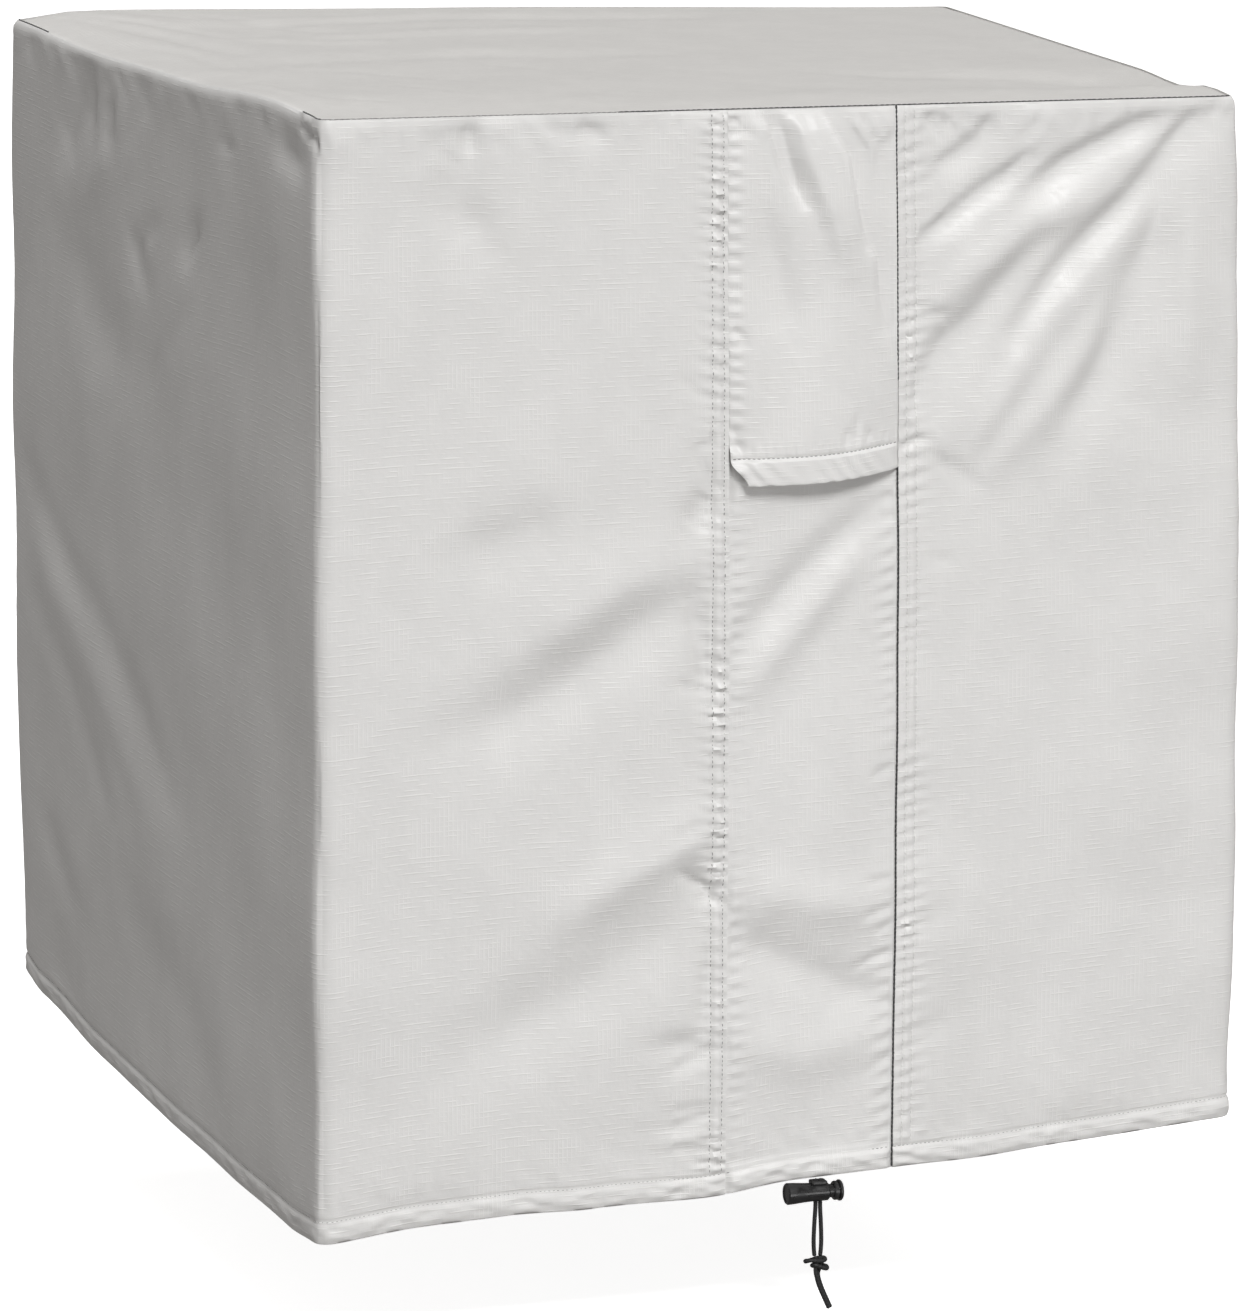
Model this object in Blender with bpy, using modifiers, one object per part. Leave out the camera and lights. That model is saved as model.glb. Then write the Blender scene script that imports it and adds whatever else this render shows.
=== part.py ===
"""Fitted cover for an outdoor air conditioner unit, with a vent flap and a drawcord lock.

Metres, +Z up, front face towards -Y. The origin is under the middle of the top panel,
where the unit that the cover is pulled over carries it.

The walls are worked out on the unrolled girth: "along" runs from the front left corner
to the right, round the back and home, and "down" runs from the top seam to the hem.
"""

import math
from typing import NamedTuple

import bmesh
import bpy
from mathutils import Vector

MM = 0.001

# Cover, cut for a square unit
WIDTH = 0.762
DEPTH = 0.762
HEIGHT = 0.813
GIRTH = 2 * (WIDTH + DEPTH)
CORNER_RADIUS = 0.014
CLOTH = 0.0016
GAP = 0.00035
LAYER = CLOTH + GAP
TOP_RISE = 0.0042

# Seams and hem
LEFT_SEAM = 0.332
RIGHT_SEAM = 0.472
SEAM_LAP = 0.008
HEM_HEIGHT = 0.016
HEM_PUFF = 0.0024
TOP_TURN = 0.014
RIM_ROW = 0.004

# Vent flap
FLAP_LENGTH = 0.277
FLAP_HEM = 0.020
FLAP_FREE_FROM = 0.235

# Drawcord and its lock
CORD_DIAMETER = 0.0034
LOCK_ALONG = 0.4000
BARREL_LENGTH = 0.034
BARREL_RADIUS = 0.0072
BARREL_FLARE = 0.0084
BORE_RADIUS = 0.00555
BORE_DEPTH = 0.025
BARREL_DROP = 0.0110
BOSS_HEIGHT = 0.0094
SLOT_FROM_END = 0.0080
PLUNGER_RADIUS = 0.0052
PLUNGER_TRAVEL = 0.0035
PLUNGER_REACH = 0.017
PLUNGER_STEM = 0.0040
HEAD_RADIUS = 0.0082
HEAD_THICKNESS = 0.0072
STRAND_LENGTH = 0.061
KNOT_HEIGHT = 0.0145
TAIL_LENGTH = 0.027


class Corner(NamedTuple):
    """A vertical edge of the cover: how far its top and hem stray from the square unit, in mm."""

    side_x: int
    side_y: int
    top: tuple
    hem: tuple
    bow: float


class Crease(NamedTuple):
    """A fold: the (along, down) points it follows, its half width and its height, in mm."""

    points: tuple
    half_width: float
    height: float


CORNERS = (
    Corner(side_x=-1, side_y=-1, top=(12, -2, 10), hem=(10, -10, -25), bow=0),
    Corner(side_x=1, side_y=-1, top=(-16, 7, 0), hem=(-7, 7, 16), bow=4),
    Corner(side_x=1, side_y=1, top=(29, -13, -17), hem=(0, 0, 0), bow=3),
    Corner(side_x=-1, side_y=1, top=(-18, 4, -3), hem=(-11, 7, 18), bow=4),
)

# (along, drop) in mm: how far the hem hangs below the straight line between its corners
HEM_DROP = (
    (0, 0), (79, -4), (151, -3), (223, 1), (321, 5), (386, 1), (469, 2), (544, 4), (618, 2),
    (762, 0), (1143, 7), (1524, 0), (1905, 7), (2286, -1), (2340, 6), (2508, 12), (2675, 12),
    (2835, 10), (2976, 6), (3048, 0),
)

# (along, drop) in mm: the same for the top seam
RIM_DROP = (
    (0, 0), (762, 0), (822, -2), (896, 4), (1000, 1), (1524, 0), (1952, -5), (2227, -7),
    (2286, 0), (2495, 5), (2727, 3), (2936, -4), (3048, 0),
)

# Right part of the front, pulled from its top corner
RIGHT_CREASES = (
    Crease(((556, 17), (505, 47)), 10, -4),
    Crease(((573, 53), (542, 72), (497, 99)), 10, -7),
    Crease(((693, 16), (630, 34), (605, 54), (581, 66)), 9, -6),
    Crease(((727, 15), (667, 76), (611, 126), (582, 155), (540, 163), (508, 200)), 14, -10),
    Crease(((698, 107), (668, 151), (644, 219), (607, 296)), 20, -6),
    Crease(((650, 69), (581, 93), (508, 144)), 12, 5),
    Crease(((680, 84), (631, 127), (582, 192), (557, 259)), 14, 6),
    Crease(((718, 73), (719, 211)), 18, 4),
    Crease(((540, 220), (500, 262)), 16, 4),
)

# Left part of the front, drawn in by the seam on its right
LEFT_CREASES = (
    Crease(((124, 0), (124, 29)), 9, -4),
    Crease(((181, 1), (229, 19)), 10, -3),
    Crease(((103, 32), (127, 94)), 22, -5),
    Crease(((197, 299), (115, 325)), 24, -5),
    Crease(((289, 357), (245, 394), (169, 438), (115, 453)), 26, -7),
    Crease(((300, 330), (230, 352), (160, 390)), 24, 5),
    Crease(((319, 284), (301, 309)), 14, -5),
    Crease(((302, 363), (316, 431)), 12, -5),
    Crease(((315, 529), (276, 548), (200, 590)), 18, 5),
    Crease(((303, 568), (320, 588)), 9, -4),
    Crease(((290, 600), (210, 650), (120, 690)), 28, -5),
    Crease(((272, 696), (314, 694)), 9, -3),
)

# Centre strip below the flap
STRIP_CREASES = (
    Crease(((459, 300), (400, 345), (343, 396)), 15, -5),
    Crease(((440, 330), (400, 375), (350, 430)), 14, 4),
    Crease(((345, 622), (369, 638), (427, 668), (462, 684)), 17, -5),
    Crease(((350, 585), (400, 600), (460, 610)), 20, 4),
    Crease(((345, 700), (400, 720), (455, 705)), 20, 3),
)

# Vent flap
FLAP_CREASES = (
    Crease(((367, 4), (378, 40), (392, 68)), 11, -4),
    Crease(((419, 4), (438, 38), (448, 102)), 10, -5),
    Crease(((400, 8), (412, 60), (428, 120)), 12, 4),
    Crease(((462, 32), (462, 164)), 9, -3),
)

# Left wall: the first number is measured from the near corner towards the back
WALL_CREASES = (
    Crease(((546, 23), (547, 59)), 14, -5),
    Crease(((492, 33), (493, 68)), 14, -5),
    Crease(((560, 28), (619, 92)), 22, -7),
    Crease(((439, 133), (407, 165)), 13, -5),
    Crease(((279, 106), (312, 131)), 13, -4),
    Crease(((206, 34), (206, 48)), 15, -4),
    Crease(((87, 26), (33, 35)), 12, -5),
    Crease(((620, 150), (523, 215), (440, 230)), 34, -7),
    Crease(((715, 370), (616, 423), (514, 457), (426, 507), (353, 554)), 18, -7),
    Crease(((700, 425), (600, 470), (490, 530), (420, 580)), 18, 5),
    Crease(((701, 473), (612, 522), (544, 575), (508, 607)), 16, -6),
    Crease(((692, 658), (600, 712)), 18, -4),
    Crease(((480, 660), (350, 700), (240, 760)), 26, -4),
)

# Right side and back, which hang almost plain
FAR_CREASES = (
    Crease(((820, 20), (900, 120), (960, 240)), 30, -6),
    Crease(((1420, 30), (1340, 160), (1290, 300)), 34, -6),
    Crease(((900, 520), (1100, 600), (1300, 640)), 40, -5),
    Crease(((1600, 30), (1700, 170), (1760, 320)), 36, -6),
    Crease(((2200, 30), (2110, 180), (2050, 330)), 34, -6),
    Crease(((1650, 560), (1900, 620), (2150, 580)), 44, -5),
)

# Top panel: (right of the front left corner, back from it), in mm
TOP_CREASES = (
    Crease(((39, 720), (70, 600), (93, 465)), 14, -3),
    Crease(((30, 250), (28, 127)), 9, 2.5),
    Crease(((120, 640), (330, 690), (520, 680)), 20, -2.5),
    Crease(((150, 560), (300, 600), (430, 600)), 18, 2),
    Crease(((60, 380), (230, 430), (420, 410)), 26, -2.5),
    Crease(((500, 240), (640, 200), (720, 120)), 26, -2.5),
)

# Rows down the wall in mm, closer where the folds are
WALL_ROWS = (
    0, 4, 14, 28, 44, 62, 82, 104, 128, 154, 182, 212, 246, 284, 326, 372, 422,
    474, 528, 582, 636, 692, 748, 793, 797, 805, 813,
)
FLAP_ROWS = (0.4, 14, 28, 44, 62, 82, 104, 128, 154, 182, 212, 234, 253, 257, 267, 277)


def smooth_step(low, high, value):
    """0 below low, 1 above high, with a smooth rise between them."""
    t = min(max((value - low) / (high - low), 0.0), 1.0)
    return t * t * (3 - 2 * t)


def read_line(line, along):
    """A smooth value from a table of (along, value) rows."""
    for (low, first), (high, second) in zip(line, line[1:]):
        if low <= along <= high:
            return first + (second - first) * smooth_step(low, high, along)
    return 0.0


def crease_height(creases, across, down):
    """The height in mm that a group of creases gives the cloth at one place."""
    total = 0.0
    for crease in creases:
        nearest = 1e9
        for (x0, z0), (x1, z1) in zip(crease.points, crease.points[1:]):
            dx, dz = x1 - x0, z1 - z0
            t = ((across - x0) * dx + (down - z0) * dz) / (dx * dx + dz * dz)
            t = min(max(t, 0.0), 1.0)
            nearest = min(nearest, math.hypot(across - x0 - t * dx, down - z0 - t * dz))
        total += crease.height * math.exp(-((nearest / crease.half_width) ** 2))
    return total


def corner_point(corner, down):
    """Where a vertical edge is at one depth, before the cloth rounds it."""
    fall = down / HEIGHT
    bow = corner.bow * math.sin(math.pi * min(max(fall, 0.0), 1.0))
    stray = [a + (b - a) * fall for a, b in zip(corner.top, corner.hem)]
    return Vector(
        (
            corner.side_x * (WIDTH / 2 + bow * MM) + stray[0] * MM,
            corner.side_y * (DEPTH / 2 + bow * MM) + stray[1] * MM,
            TOP_RISE - down + stray[2] * MM,
        )
    )


def girth_point(along, down):
    """The smooth cover at one place on its girth, and the way out from there."""
    lengths = (WIDTH, DEPTH, WIDTH, DEPTH)
    rest = along % GIRTH
    side = 0
    while rest > lengths[side]:
        rest -= lengths[side]
        side += 1
    length = lengths[side]
    here = corner_point(CORNERS[side], down)
    there = corner_point(CORNERS[(side + 1) % 4], down)
    run = (there - here).normalized()
    outward = Vector((run.y, -run.x, 0)).normalized()
    if rest < CORNER_RADIUS or length - rest < CORNER_RADIUS:
        near = rest < CORNER_RADIUS
        corner = CORNERS[side] if near else CORNERS[(side + 1) % 4]
        before = CORNERS[(side - 1) % 4] if near else CORNERS[side]
        after = CORNERS[(side + 1) % 4] if near else CORNERS[(side + 2) % 4]
        middle = corner_point(corner, down)
        back = (corner_point(before, down) - middle).normalized()
        ahead = (corner_point(after, down) - middle).normalized()
        reach = rest / CORNER_RADIUS if near else -(length - rest) / CORNER_RADIUS
        t = 0.5 + 0.5 * reach
        start = middle + back * CORNER_RADIUS
        end = middle + ahead * CORNER_RADIUS
        place = start * (1 - t) ** 2 + middle * 2 * t * (1 - t) + end * t * t
        travel = (middle - start) * (1 - t) + (end - middle) * t
        outward = Vector((travel.y, -travel.x, 0)).normalized()
    else:
        place = here + (there - here) * (rest / length)
    return place, outward


def seam_lines_drop(along, down):
    """How far the rim and the hem pull one place down, in metres."""
    girth = (along % GIRTH) / MM
    fall = down / HEIGHT
    return (read_line(RIM_DROP, girth) * (1 - fall) + read_line(HEM_DROP, girth) * fall) * MM


def wall_folds(along, down):
    """The folds of the wall at one place, in metres."""
    girth = (along % GIRTH) / MM
    depth = down / MM
    height = crease_height(RIGHT_CREASES + LEFT_CREASES + FAR_CREASES, girth, depth)
    height += crease_height(WALL_CREASES, GIRTH / MM - girth, depth)
    held = smooth_step(0, 14, depth) * (1 - smooth_step(770, 813, depth) * 0.7)
    gather = 1.2 * math.sin(girth / 13.0) * math.sin(girth / 31.0 + 1.0)
    height += gather * math.exp(-((depth - 16) / 14) ** 2)
    return height * held * MM


def wall_point(along, down, out):
    """A point of the wall cloth, "out" metres outside its outer face."""
    place, outward = girth_point(along, down)
    place = place + outward * (wall_folds(along, down) + out)
    place.z -= seam_lines_drop(along, down)
    return place


def hem_swell(down):
    """How far the drawcord tunnel stands out of the wall."""
    top = HEIGHT - HEM_HEIGHT
    return HEM_PUFF * smooth_step(top - 0.004, top + 0.004, down)


def strip_point(along, down, out):
    """A point of the centre strip, whose edges lie behind the side cloth."""
    inside = smooth_step(LEFT_SEAM, LEFT_SEAM + 0.006, along)
    inside *= 1 - smooth_step(RIGHT_SEAM - 0.006, RIGHT_SEAM, along)
    folds = crease_height(STRIP_CREASES, along / MM, down / MM) * MM * inside
    swell = (hem_swell(down) + (LAYER if down > HEIGHT - HEM_HEIGHT else 0.0)) * inside
    return wall_point(along, down, out - LAYER + folds + swell)


def flap_stand(along, down):
    """How far the flap stands off the strip behind it."""
    u = (along - LEFT_SEAM) / (RIGHT_SEAM - LEFT_SEAM)
    u = min(max(u, 0.0), 1.0)
    loose = smooth_step(FLAP_FREE_FROM, FLAP_LENGTH, down) * 0.6 * (1 - smooth_step(0.1, 0.6, u))
    arch = math.sin(math.pi * u) ** 0.8 if 0 < u < 1 else 0.0
    arch = arch + (1 - arch) * loose
    depth = down / FLAP_LENGTH
    stand = 5.0 * smooth_step(0, 0.25, depth) + 8.0 * smooth_step(0.45, 1.0, depth)
    folds = crease_height(FLAP_CREASES, along / MM, down / MM)
    return max(stand * arch + folds * min(1.0, 2 * arch), 0.0) * MM


def flap_point(share, row, out):
    """A point of the flap, "share" of the way from its left edge to its right edge."""
    notch = 0.012 * smooth_step(FLAP_LENGTH - FLAP_HEM + 0.002, FLAP_LENGTH, row)
    left = LEFT_SEAM + 0.0004 + notch
    right = RIGHT_SEAM - 0.0004
    along = left + (right - left) * share
    dip = 0.002 * math.sin(math.pi * share) - 0.0045 * share * share
    down = row + dip * smooth_step(0.18, FLAP_LENGTH, row)
    return wall_point(along, down, out + flap_stand(along, row))


def new_material(name, colour, roughness, metallic=0.0):
    """A Principled material with one colour."""
    material = bpy.data.materials.new(name)
    material.use_nodes = True
    shader = material.node_tree.nodes["Principled BSDF"]
    shader.inputs["Base Color"].default_value = (*colour, 1.0)
    shader.inputs["Roughness"].default_value = roughness
    shader.inputs["Metallic"].default_value = metallic
    material.diffuse_color = (*colour, 1.0)
    return material


def add_object(name, mesh, material, collection, smooth=True):
    """Puts a mesh into the scene as a named piece with its own material."""
    piece = bpy.data.objects.new(name, mesh)
    mesh.materials.append(material)
    if smooth:
        mesh.shade_smooth()
        mesh.set_sharp_from_angle(angle=math.radians(40))
    collection.objects.link(piece)
    return piece


def close_sheet(name, outer, inner, material, collection):
    """A closed cloth from two grids of points, its outer and its inner face."""
    work = bmesh.new()
    faces = [[[work.verts.new(p) for p in row] for row in grid] for grid in (outer, inner)]
    front, back = faces
    last_row, last_column = len(front) - 1, len(front[0]) - 1
    for i in range(last_row):
        for j in range(last_column):
            a, b, c, d = front[i][j], front[i][j + 1], front[i + 1][j + 1], front[i + 1][j]
            work.faces.new((a, d, b))
            work.faces.new((b, d, c))
            a, b, c, d = back[i][j], back[i][j + 1], back[i + 1][j + 1], back[i + 1][j]
            work.faces.new((a, b, d))
            work.faces.new((b, c, d))
    for j in range(last_column):
        work.faces.new((front[0][j], front[0][j + 1], back[0][j + 1], back[0][j]))
        low, low_next = front[last_row][j], front[last_row][j + 1]
        work.faces.new((low_next, low, back[last_row][j], back[last_row][j + 1]))
    for i in range(last_row):
        work.faces.new((front[i + 1][0], front[i][0], back[i][0], back[i + 1][0]))
        end, end_next = front[i][last_column], front[i + 1][last_column]
        work.faces.new((end, end_next, back[i + 1][last_column], back[i][last_column]))
    bmesh.ops.recalc_face_normals(work, faces=work.faces)
    mesh = bpy.data.meshes.new(name)
    work.to_mesh(mesh)
    work.free()
    return add_object(name, mesh, material, collection)


def spread(start, end, pitch):
    """Even steps from start to end that are close to pitch, without the last one."""
    count = max(1, round((end - start) / pitch))
    return [start + (end - start) * k / count for k in range(count)]


def corner_steps(at):
    """The columns that carry the cloth round a corner."""
    return [at + CORNER_RADIUS * share for share in (-1.0, -0.4, 0.4, 1.0)]


def band_columns():
    """The columns of the wall cloth, from the right seam round to the left seam."""
    turn = CORNER_RADIUS
    columns = [RIGHT_SEAM, RIGHT_SEAM + SEAM_LAP]
    columns += spread(RIGHT_SEAM + SEAM_LAP + 0.012, WIDTH - turn - 0.008, 0.0165)
    columns += corner_steps(WIDTH)
    columns += spread(WIDTH + 0.06, WIDTH + DEPTH - 0.05, 0.105)
    columns += corner_steps(WIDTH + DEPTH)
    columns += spread(WIDTH + DEPTH + 0.06, 2 * WIDTH + DEPTH - 0.05, 0.105)
    columns += corner_steps(2 * WIDTH + DEPTH)
    columns += spread(2 * WIDTH + DEPTH + 0.035, GIRTH - turn - 0.012, 0.031)
    columns += corner_steps(GIRTH)
    columns += spread(GIRTH + turn + 0.012, GIRTH + LEFT_SEAM - SEAM_LAP - 0.01, 0.020)
    columns += [GIRTH + LEFT_SEAM - SEAM_LAP - 0.01, GIRTH + LEFT_SEAM - SEAM_LAP]
    columns += [GIRTH + LEFT_SEAM]
    return columns


def strip_columns():
    """The columns of the centre strip, which runs on behind the wall cloth on each side."""
    columns = [LEFT_SEAM - SEAM_LAP, LEFT_SEAM, LEFT_SEAM + 0.006]
    columns += spread(LEFT_SEAM + 0.020, RIGHT_SEAM - 0.014, 0.018)
    columns += [RIGHT_SEAM - 0.014, RIGHT_SEAM - 0.006, RIGHT_SEAM, RIGHT_SEAM + SEAM_LAP]
    return columns


def build_wall_band(material, collection):
    """One cloth for the left wall, the back, the right wall and both sides of the front."""
    columns = band_columns()
    outer, inner = [], []
    for row in WALL_ROWS:
        down = row * MM
        outer.append([wall_point(along, down, hem_swell(down)) for along in columns])
        inner.append([wall_point(along, down, -CLOTH) for along in columns])
    return close_sheet("wall_band", outer, inner, material, collection)


def build_centre_strip(material, collection):
    """The strip between the two seams, behind the flap and down to the hem."""
    columns = strip_columns()
    outer = [[strip_point(along, row * MM, 0.0) for along in columns] for row in WALL_ROWS]
    inner = []
    for row in WALL_ROWS:
        down = row * MM
        inner.append([wall_point(a, down, -LAYER - CLOTH + strip_inner(a, down)) for a in columns])
    return close_sheet("centre_strip", outer, inner, material, collection)


def strip_inner(along, down):
    """The folds of the strip on its inner face, where the hem lies flat."""
    inside = smooth_step(LEFT_SEAM, LEFT_SEAM + 0.006, along)
    inside *= 1 - smooth_step(RIGHT_SEAM - 0.006, RIGHT_SEAM, along)
    return crease_height(STRIP_CREASES, along / MM, down / MM) * MM * inside


def build_vent_flap(material, collection):
    """The flap over the upper part of the strip, open along its folded hem."""
    shares = [0.0] + [0.04 + 0.92 * k / 9 for k in range(10)] + [1.0]
    outer, inner = [], []
    for row in FLAP_ROWS:
        down = row * MM
        fold = 0.0009 * smooth_step(FLAP_LENGTH - FLAP_HEM - 0.004, FLAP_LENGTH - FLAP_HEM, down)
        outer.append([flap_point(share, down, fold) for share in shares])
        inner.append([flap_point(share, down, -CLOTH) for share in shares])
    return close_sheet("vent_flap", outer, inner, material, collection)


def top_height(u, v):
    """How high the top panel lies at a share u to the right and v to the back, in metres."""
    girths = (u * WIDTH, WIDTH + v * DEPTH, WIDTH + DEPTH + (1 - u) * WIDTH, GIRTH - v * DEPTH)
    front, right, back, left = (read_line(RIM_DROP, g / MM) for g in girths)
    drop = front * (1 - v) + back * v + left * (1 - u) + right * u
    held = min(1.0, 12 * min(u, v, 1 - u, 1 - v))
    folds = crease_height(TOP_CREASES, u * WIDTH / MM, v * DEPTH / MM) * held
    return (folds - drop) * MM


def top_point(u, v, drop):
    """A point of the top panel, "drop" metres below its outer face."""
    corners = [corner_point(corner, 0.0) for corner in CORNERS]
    front = corners[0].lerp(corners[1], u)
    back = corners[3].lerp(corners[2], u)
    place = front.lerp(back, v)
    place.z += top_height(u, v) - drop
    return place


def share_on_top(along):
    """The share to the right and to the back of one place on the rim."""
    rest = along % GIRTH
    if rest <= WIDTH:
        return rest / WIDTH, 0.0
    if rest <= WIDTH + DEPTH:
        return 1.0, (rest - WIDTH) / DEPTH
    if rest <= 2 * WIDTH + DEPTH:
        return 1 - (rest - WIDTH - DEPTH) / WIDTH, 1.0
    return 0.0, (GIRTH - rest) / DEPTH


def rim_inset(along):
    """How far inside the wall's outer face the top panel's turned edge lies."""
    place = along % GIRTH
    margin = SEAM_LAP + 0.004
    over = smooth_step(LEFT_SEAM - margin - 0.012, LEFT_SEAM - margin, place)
    over *= 1 - smooth_step(RIGHT_SEAM + margin, RIGHT_SEAM + margin + 0.012, place)
    return LAYER * (1 + over)


def top_columns():
    """Every column of the wall cloth and of the strip, in order round the rim."""
    edge = SEAM_LAP + 0.016
    columns = {round(c % GIRTH, 6) for c in band_columns()}
    columns |= {round(c, 6) for c in strip_columns()}
    columns |= {LEFT_SEAM - edge, LEFT_SEAM - SEAM_LAP - 0.004}
    columns |= {RIGHT_SEAM + edge, RIGHT_SEAM + SEAM_LAP + 0.004}
    kept = []
    for column in sorted(columns):
        if not kept or column - kept[-1] > 0.0035:
            kept.append(column)
    return kept


def bridge_loops(work, loop, loop_at, ring, ring_at):
    """Fills between two closed loops of different density, both in the same direction."""
    i = j = 0
    while i < len(loop) or j < len(ring):
        next_loop = loop_at[i + 1] if i + 1 < len(loop) else 1.0
        next_ring = ring_at[j + 1] if j + 1 < len(ring) else 1.0
        a, b = loop[i % len(loop)], ring[j % len(ring)]
        if j >= len(ring) or (i < len(loop) and next_loop <= next_ring):
            work.faces.new((a, loop[(i + 1) % len(loop)], b))
            i += 1
        else:
            work.faces.new((a, ring[(j + 1) % len(ring)], b))
            j += 1


def top_side(work, columns, depth_in):
    """One face of the top panel: its turned edge, its rounded rim and its flat middle."""
    rings = []
    for down, inward, sink in ((TOP_TURN, 0.0, 0.0), (RIM_ROW, 0.0, 0.0), (0.0004, 0.0008, 0.7)):
        ring = []
        for along in columns:
            inset = rim_inset(along) + inward + depth_in
            ring.append(work.verts.new(wall_point(along, down + sink * depth_in, -inset)))
        rings.append(ring)
    centre = Vector((0.5, 0.5))
    for shrink in (0.965,):
        ring = []
        for along in columns:
            u, v = (Vector(share_on_top(along)) - centre) * shrink + centre
            ring.append(work.verts.new(top_point(u, v, 0.0003 + depth_in)))
        rings.append(ring)
    for low, high in zip(rings, rings[1:]):
        for i in range(len(columns)):
            k = (i + 1) % len(columns)
            work.faces.new((low[i], low[k], high[k]))
            work.faces.new((low[i], high[k], high[i]))
    count = 9
    lattice = {}
    for a in range(count):
        for b in range(count):
            u, v = 0.09 + 0.82 * a / (count - 1), 0.09 + 0.82 * b / (count - 1)
            lattice[a, b] = work.verts.new(top_point(u, v, 0.0003 + depth_in))
    for a in range(count - 1):
        for b in range(count - 1):
            corners = lattice[a, b], lattice[a + 1, b], lattice[a + 1, b + 1], lattice[a, b + 1]
            work.faces.new((corners[0], corners[1], corners[3]))
            work.faces.new((corners[1], corners[2], corners[3]))
    last = count - 1
    border = [(a, 0) for a in range(last)] + [(last, b) for b in range(last)]
    border += [(last - a, last) for a in range(last)] + [(0, last - b) for b in range(last)]
    ring = [lattice[key] for key in border]
    ring_at = [k / len(border) for k in range(len(border))]
    loop_at = [along / GIRTH for along in columns]
    bridge_loops(work, rings[-1], loop_at, ring, ring_at)
    return rings[0]


def build_top_panel(material, collection):
    """The top cloth, its edge turned down inside the walls."""
    columns = top_columns()
    work = bmesh.new()
    outer = top_side(work, columns, 0.0)
    inner = top_side(work, columns, CLOTH)
    for i in range(len(columns)):
        k = (i + 1) % len(columns)
        work.faces.new((outer[i], outer[k], inner[k], inner[i]))
    bmesh.ops.recalc_face_normals(work, faces=work.faces)
    mesh = bpy.data.meshes.new("top_panel")
    work.to_mesh(mesh)
    work.free()
    return add_object("top_panel", mesh, material, collection)


def turned_piece(name, profile, steps, material, collection):
    """A turned solid about its own X axis, from (radius, place) points down its outer side."""
    mesh = bpy.data.meshes.new(name)
    points = [(radius, 0.0, place) for radius, place in profile]
    edges = [(k, k + 1) for k in range(len(points) - 1)]
    mesh.from_pydata(points, edges, [])
    piece = add_object(name, mesh, material, collection, smooth=False)
    screw = piece.modifiers.new("Turn", "SCREW")
    screw.axis = "Z"
    screw.steps = steps
    screw.render_steps = steps
    screw.use_merge_vertices = True
    screw.merge_threshold = 0.00005
    screw.use_smooth_shade = False
    piece.rotation_euler = (0.0, math.radians(90), 0.0)
    return piece


def add_cutter(name, size, place, collection, bevel=0.0):
    """A box that cuts another piece, or is joined to it."""
    bpy.ops.mesh.primitive_cube_add(size=1.0, location=place)
    cutter = bpy.context.active_object
    cutter.name = name
    cutter.data.transform(
        ((size[0], 0, 0, 0), (0, size[1], 0, 0), (0, 0, size[2], 0), (0, 0, 0, 1))
    )
    if bevel:
        rounding = cutter.modifiers.new("Round", "BEVEL")
        rounding.width = bevel
        rounding.segments = 3
        rounding.limit_method = "ANGLE"
    for holder in list(cutter.users_collection):
        holder.objects.unlink(cutter)
    collection.objects.link(cutter)
    cutter.hide_render = True
    cutter.display_type = "WIRE"
    return cutter


def boolean(piece, cutter, operation):
    """Cuts or joins with the exact solver."""
    modifier = piece.modifiers.new(operation.title(), "BOOLEAN")
    modifier.object = cutter
    modifier.operation = operation
    modifier.solver = "EXACT"


def lock_places():
    """Where the lock's axis, its left end and its cord slot lie."""
    hem = wall_point(LOCK_ALONG, HEIGHT, 0.0)
    axis_y = hem.y - 0.0010
    axis_z = hem.z - BARREL_DROP
    left = hem.x - BARREL_LENGTH / 2
    slot = left + BARREL_LENGTH - SLOT_FROM_END
    return Vector((left, axis_y, axis_z)), slot, hem


def build_barrel(material, collection, cutters):
    """The lock's barrel: closed at the left, bored from the right, slotted for two strands."""
    start, slot, hem = lock_places()
    end = BARREL_LENGTH
    profile = (
        (0.0, end - BORE_DEPTH),
        (BORE_RADIUS, end - BORE_DEPTH),
        (BORE_RADIUS, end),
        (BARREL_RADIUS - 0.0008, end),
        (BARREL_RADIUS, end - 0.0010),
        (BARREL_RADIUS, 0.020),
        (BARREL_RADIUS + 0.0003, 0.014),
        (BARREL_FLARE - 0.0002, 0.006),
        (BARREL_FLARE, 0.0010),
        (BARREL_FLARE - 0.0008, 0.0),
        (BARREL_FLARE - 0.0022, 0.0),
        (BARREL_FLARE - 0.0026, 0.0006),
        (0.0, 0.0006),
    )
    barrel = turned_piece("cord_lock_barrel", profile, 32, material, collection)
    barrel.location = start
    boss_size = (0.0125, 0.0096, BOSS_HEIGHT - BORE_RADIUS - 0.0004)
    boss_place = (slot, start.y, start.z + BORE_RADIUS + 0.0004 + boss_size[2] / 2)
    boss = add_cutter("lock_boss", boss_size, boss_place, cutters, bevel=0.0012)
    boolean(barrel, boss, "UNION")
    long = 2 * CORD_DIAMETER + 3 * GAP
    slot_size = (long, CORD_DIAMETER + 2 * GAP, 0.04)
    cutter = add_cutter("lock_slot", slot_size, (slot, start.y, start.z), cutters)
    boolean(barrel, cutter, "DIFFERENCE")
    return barrel


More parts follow.
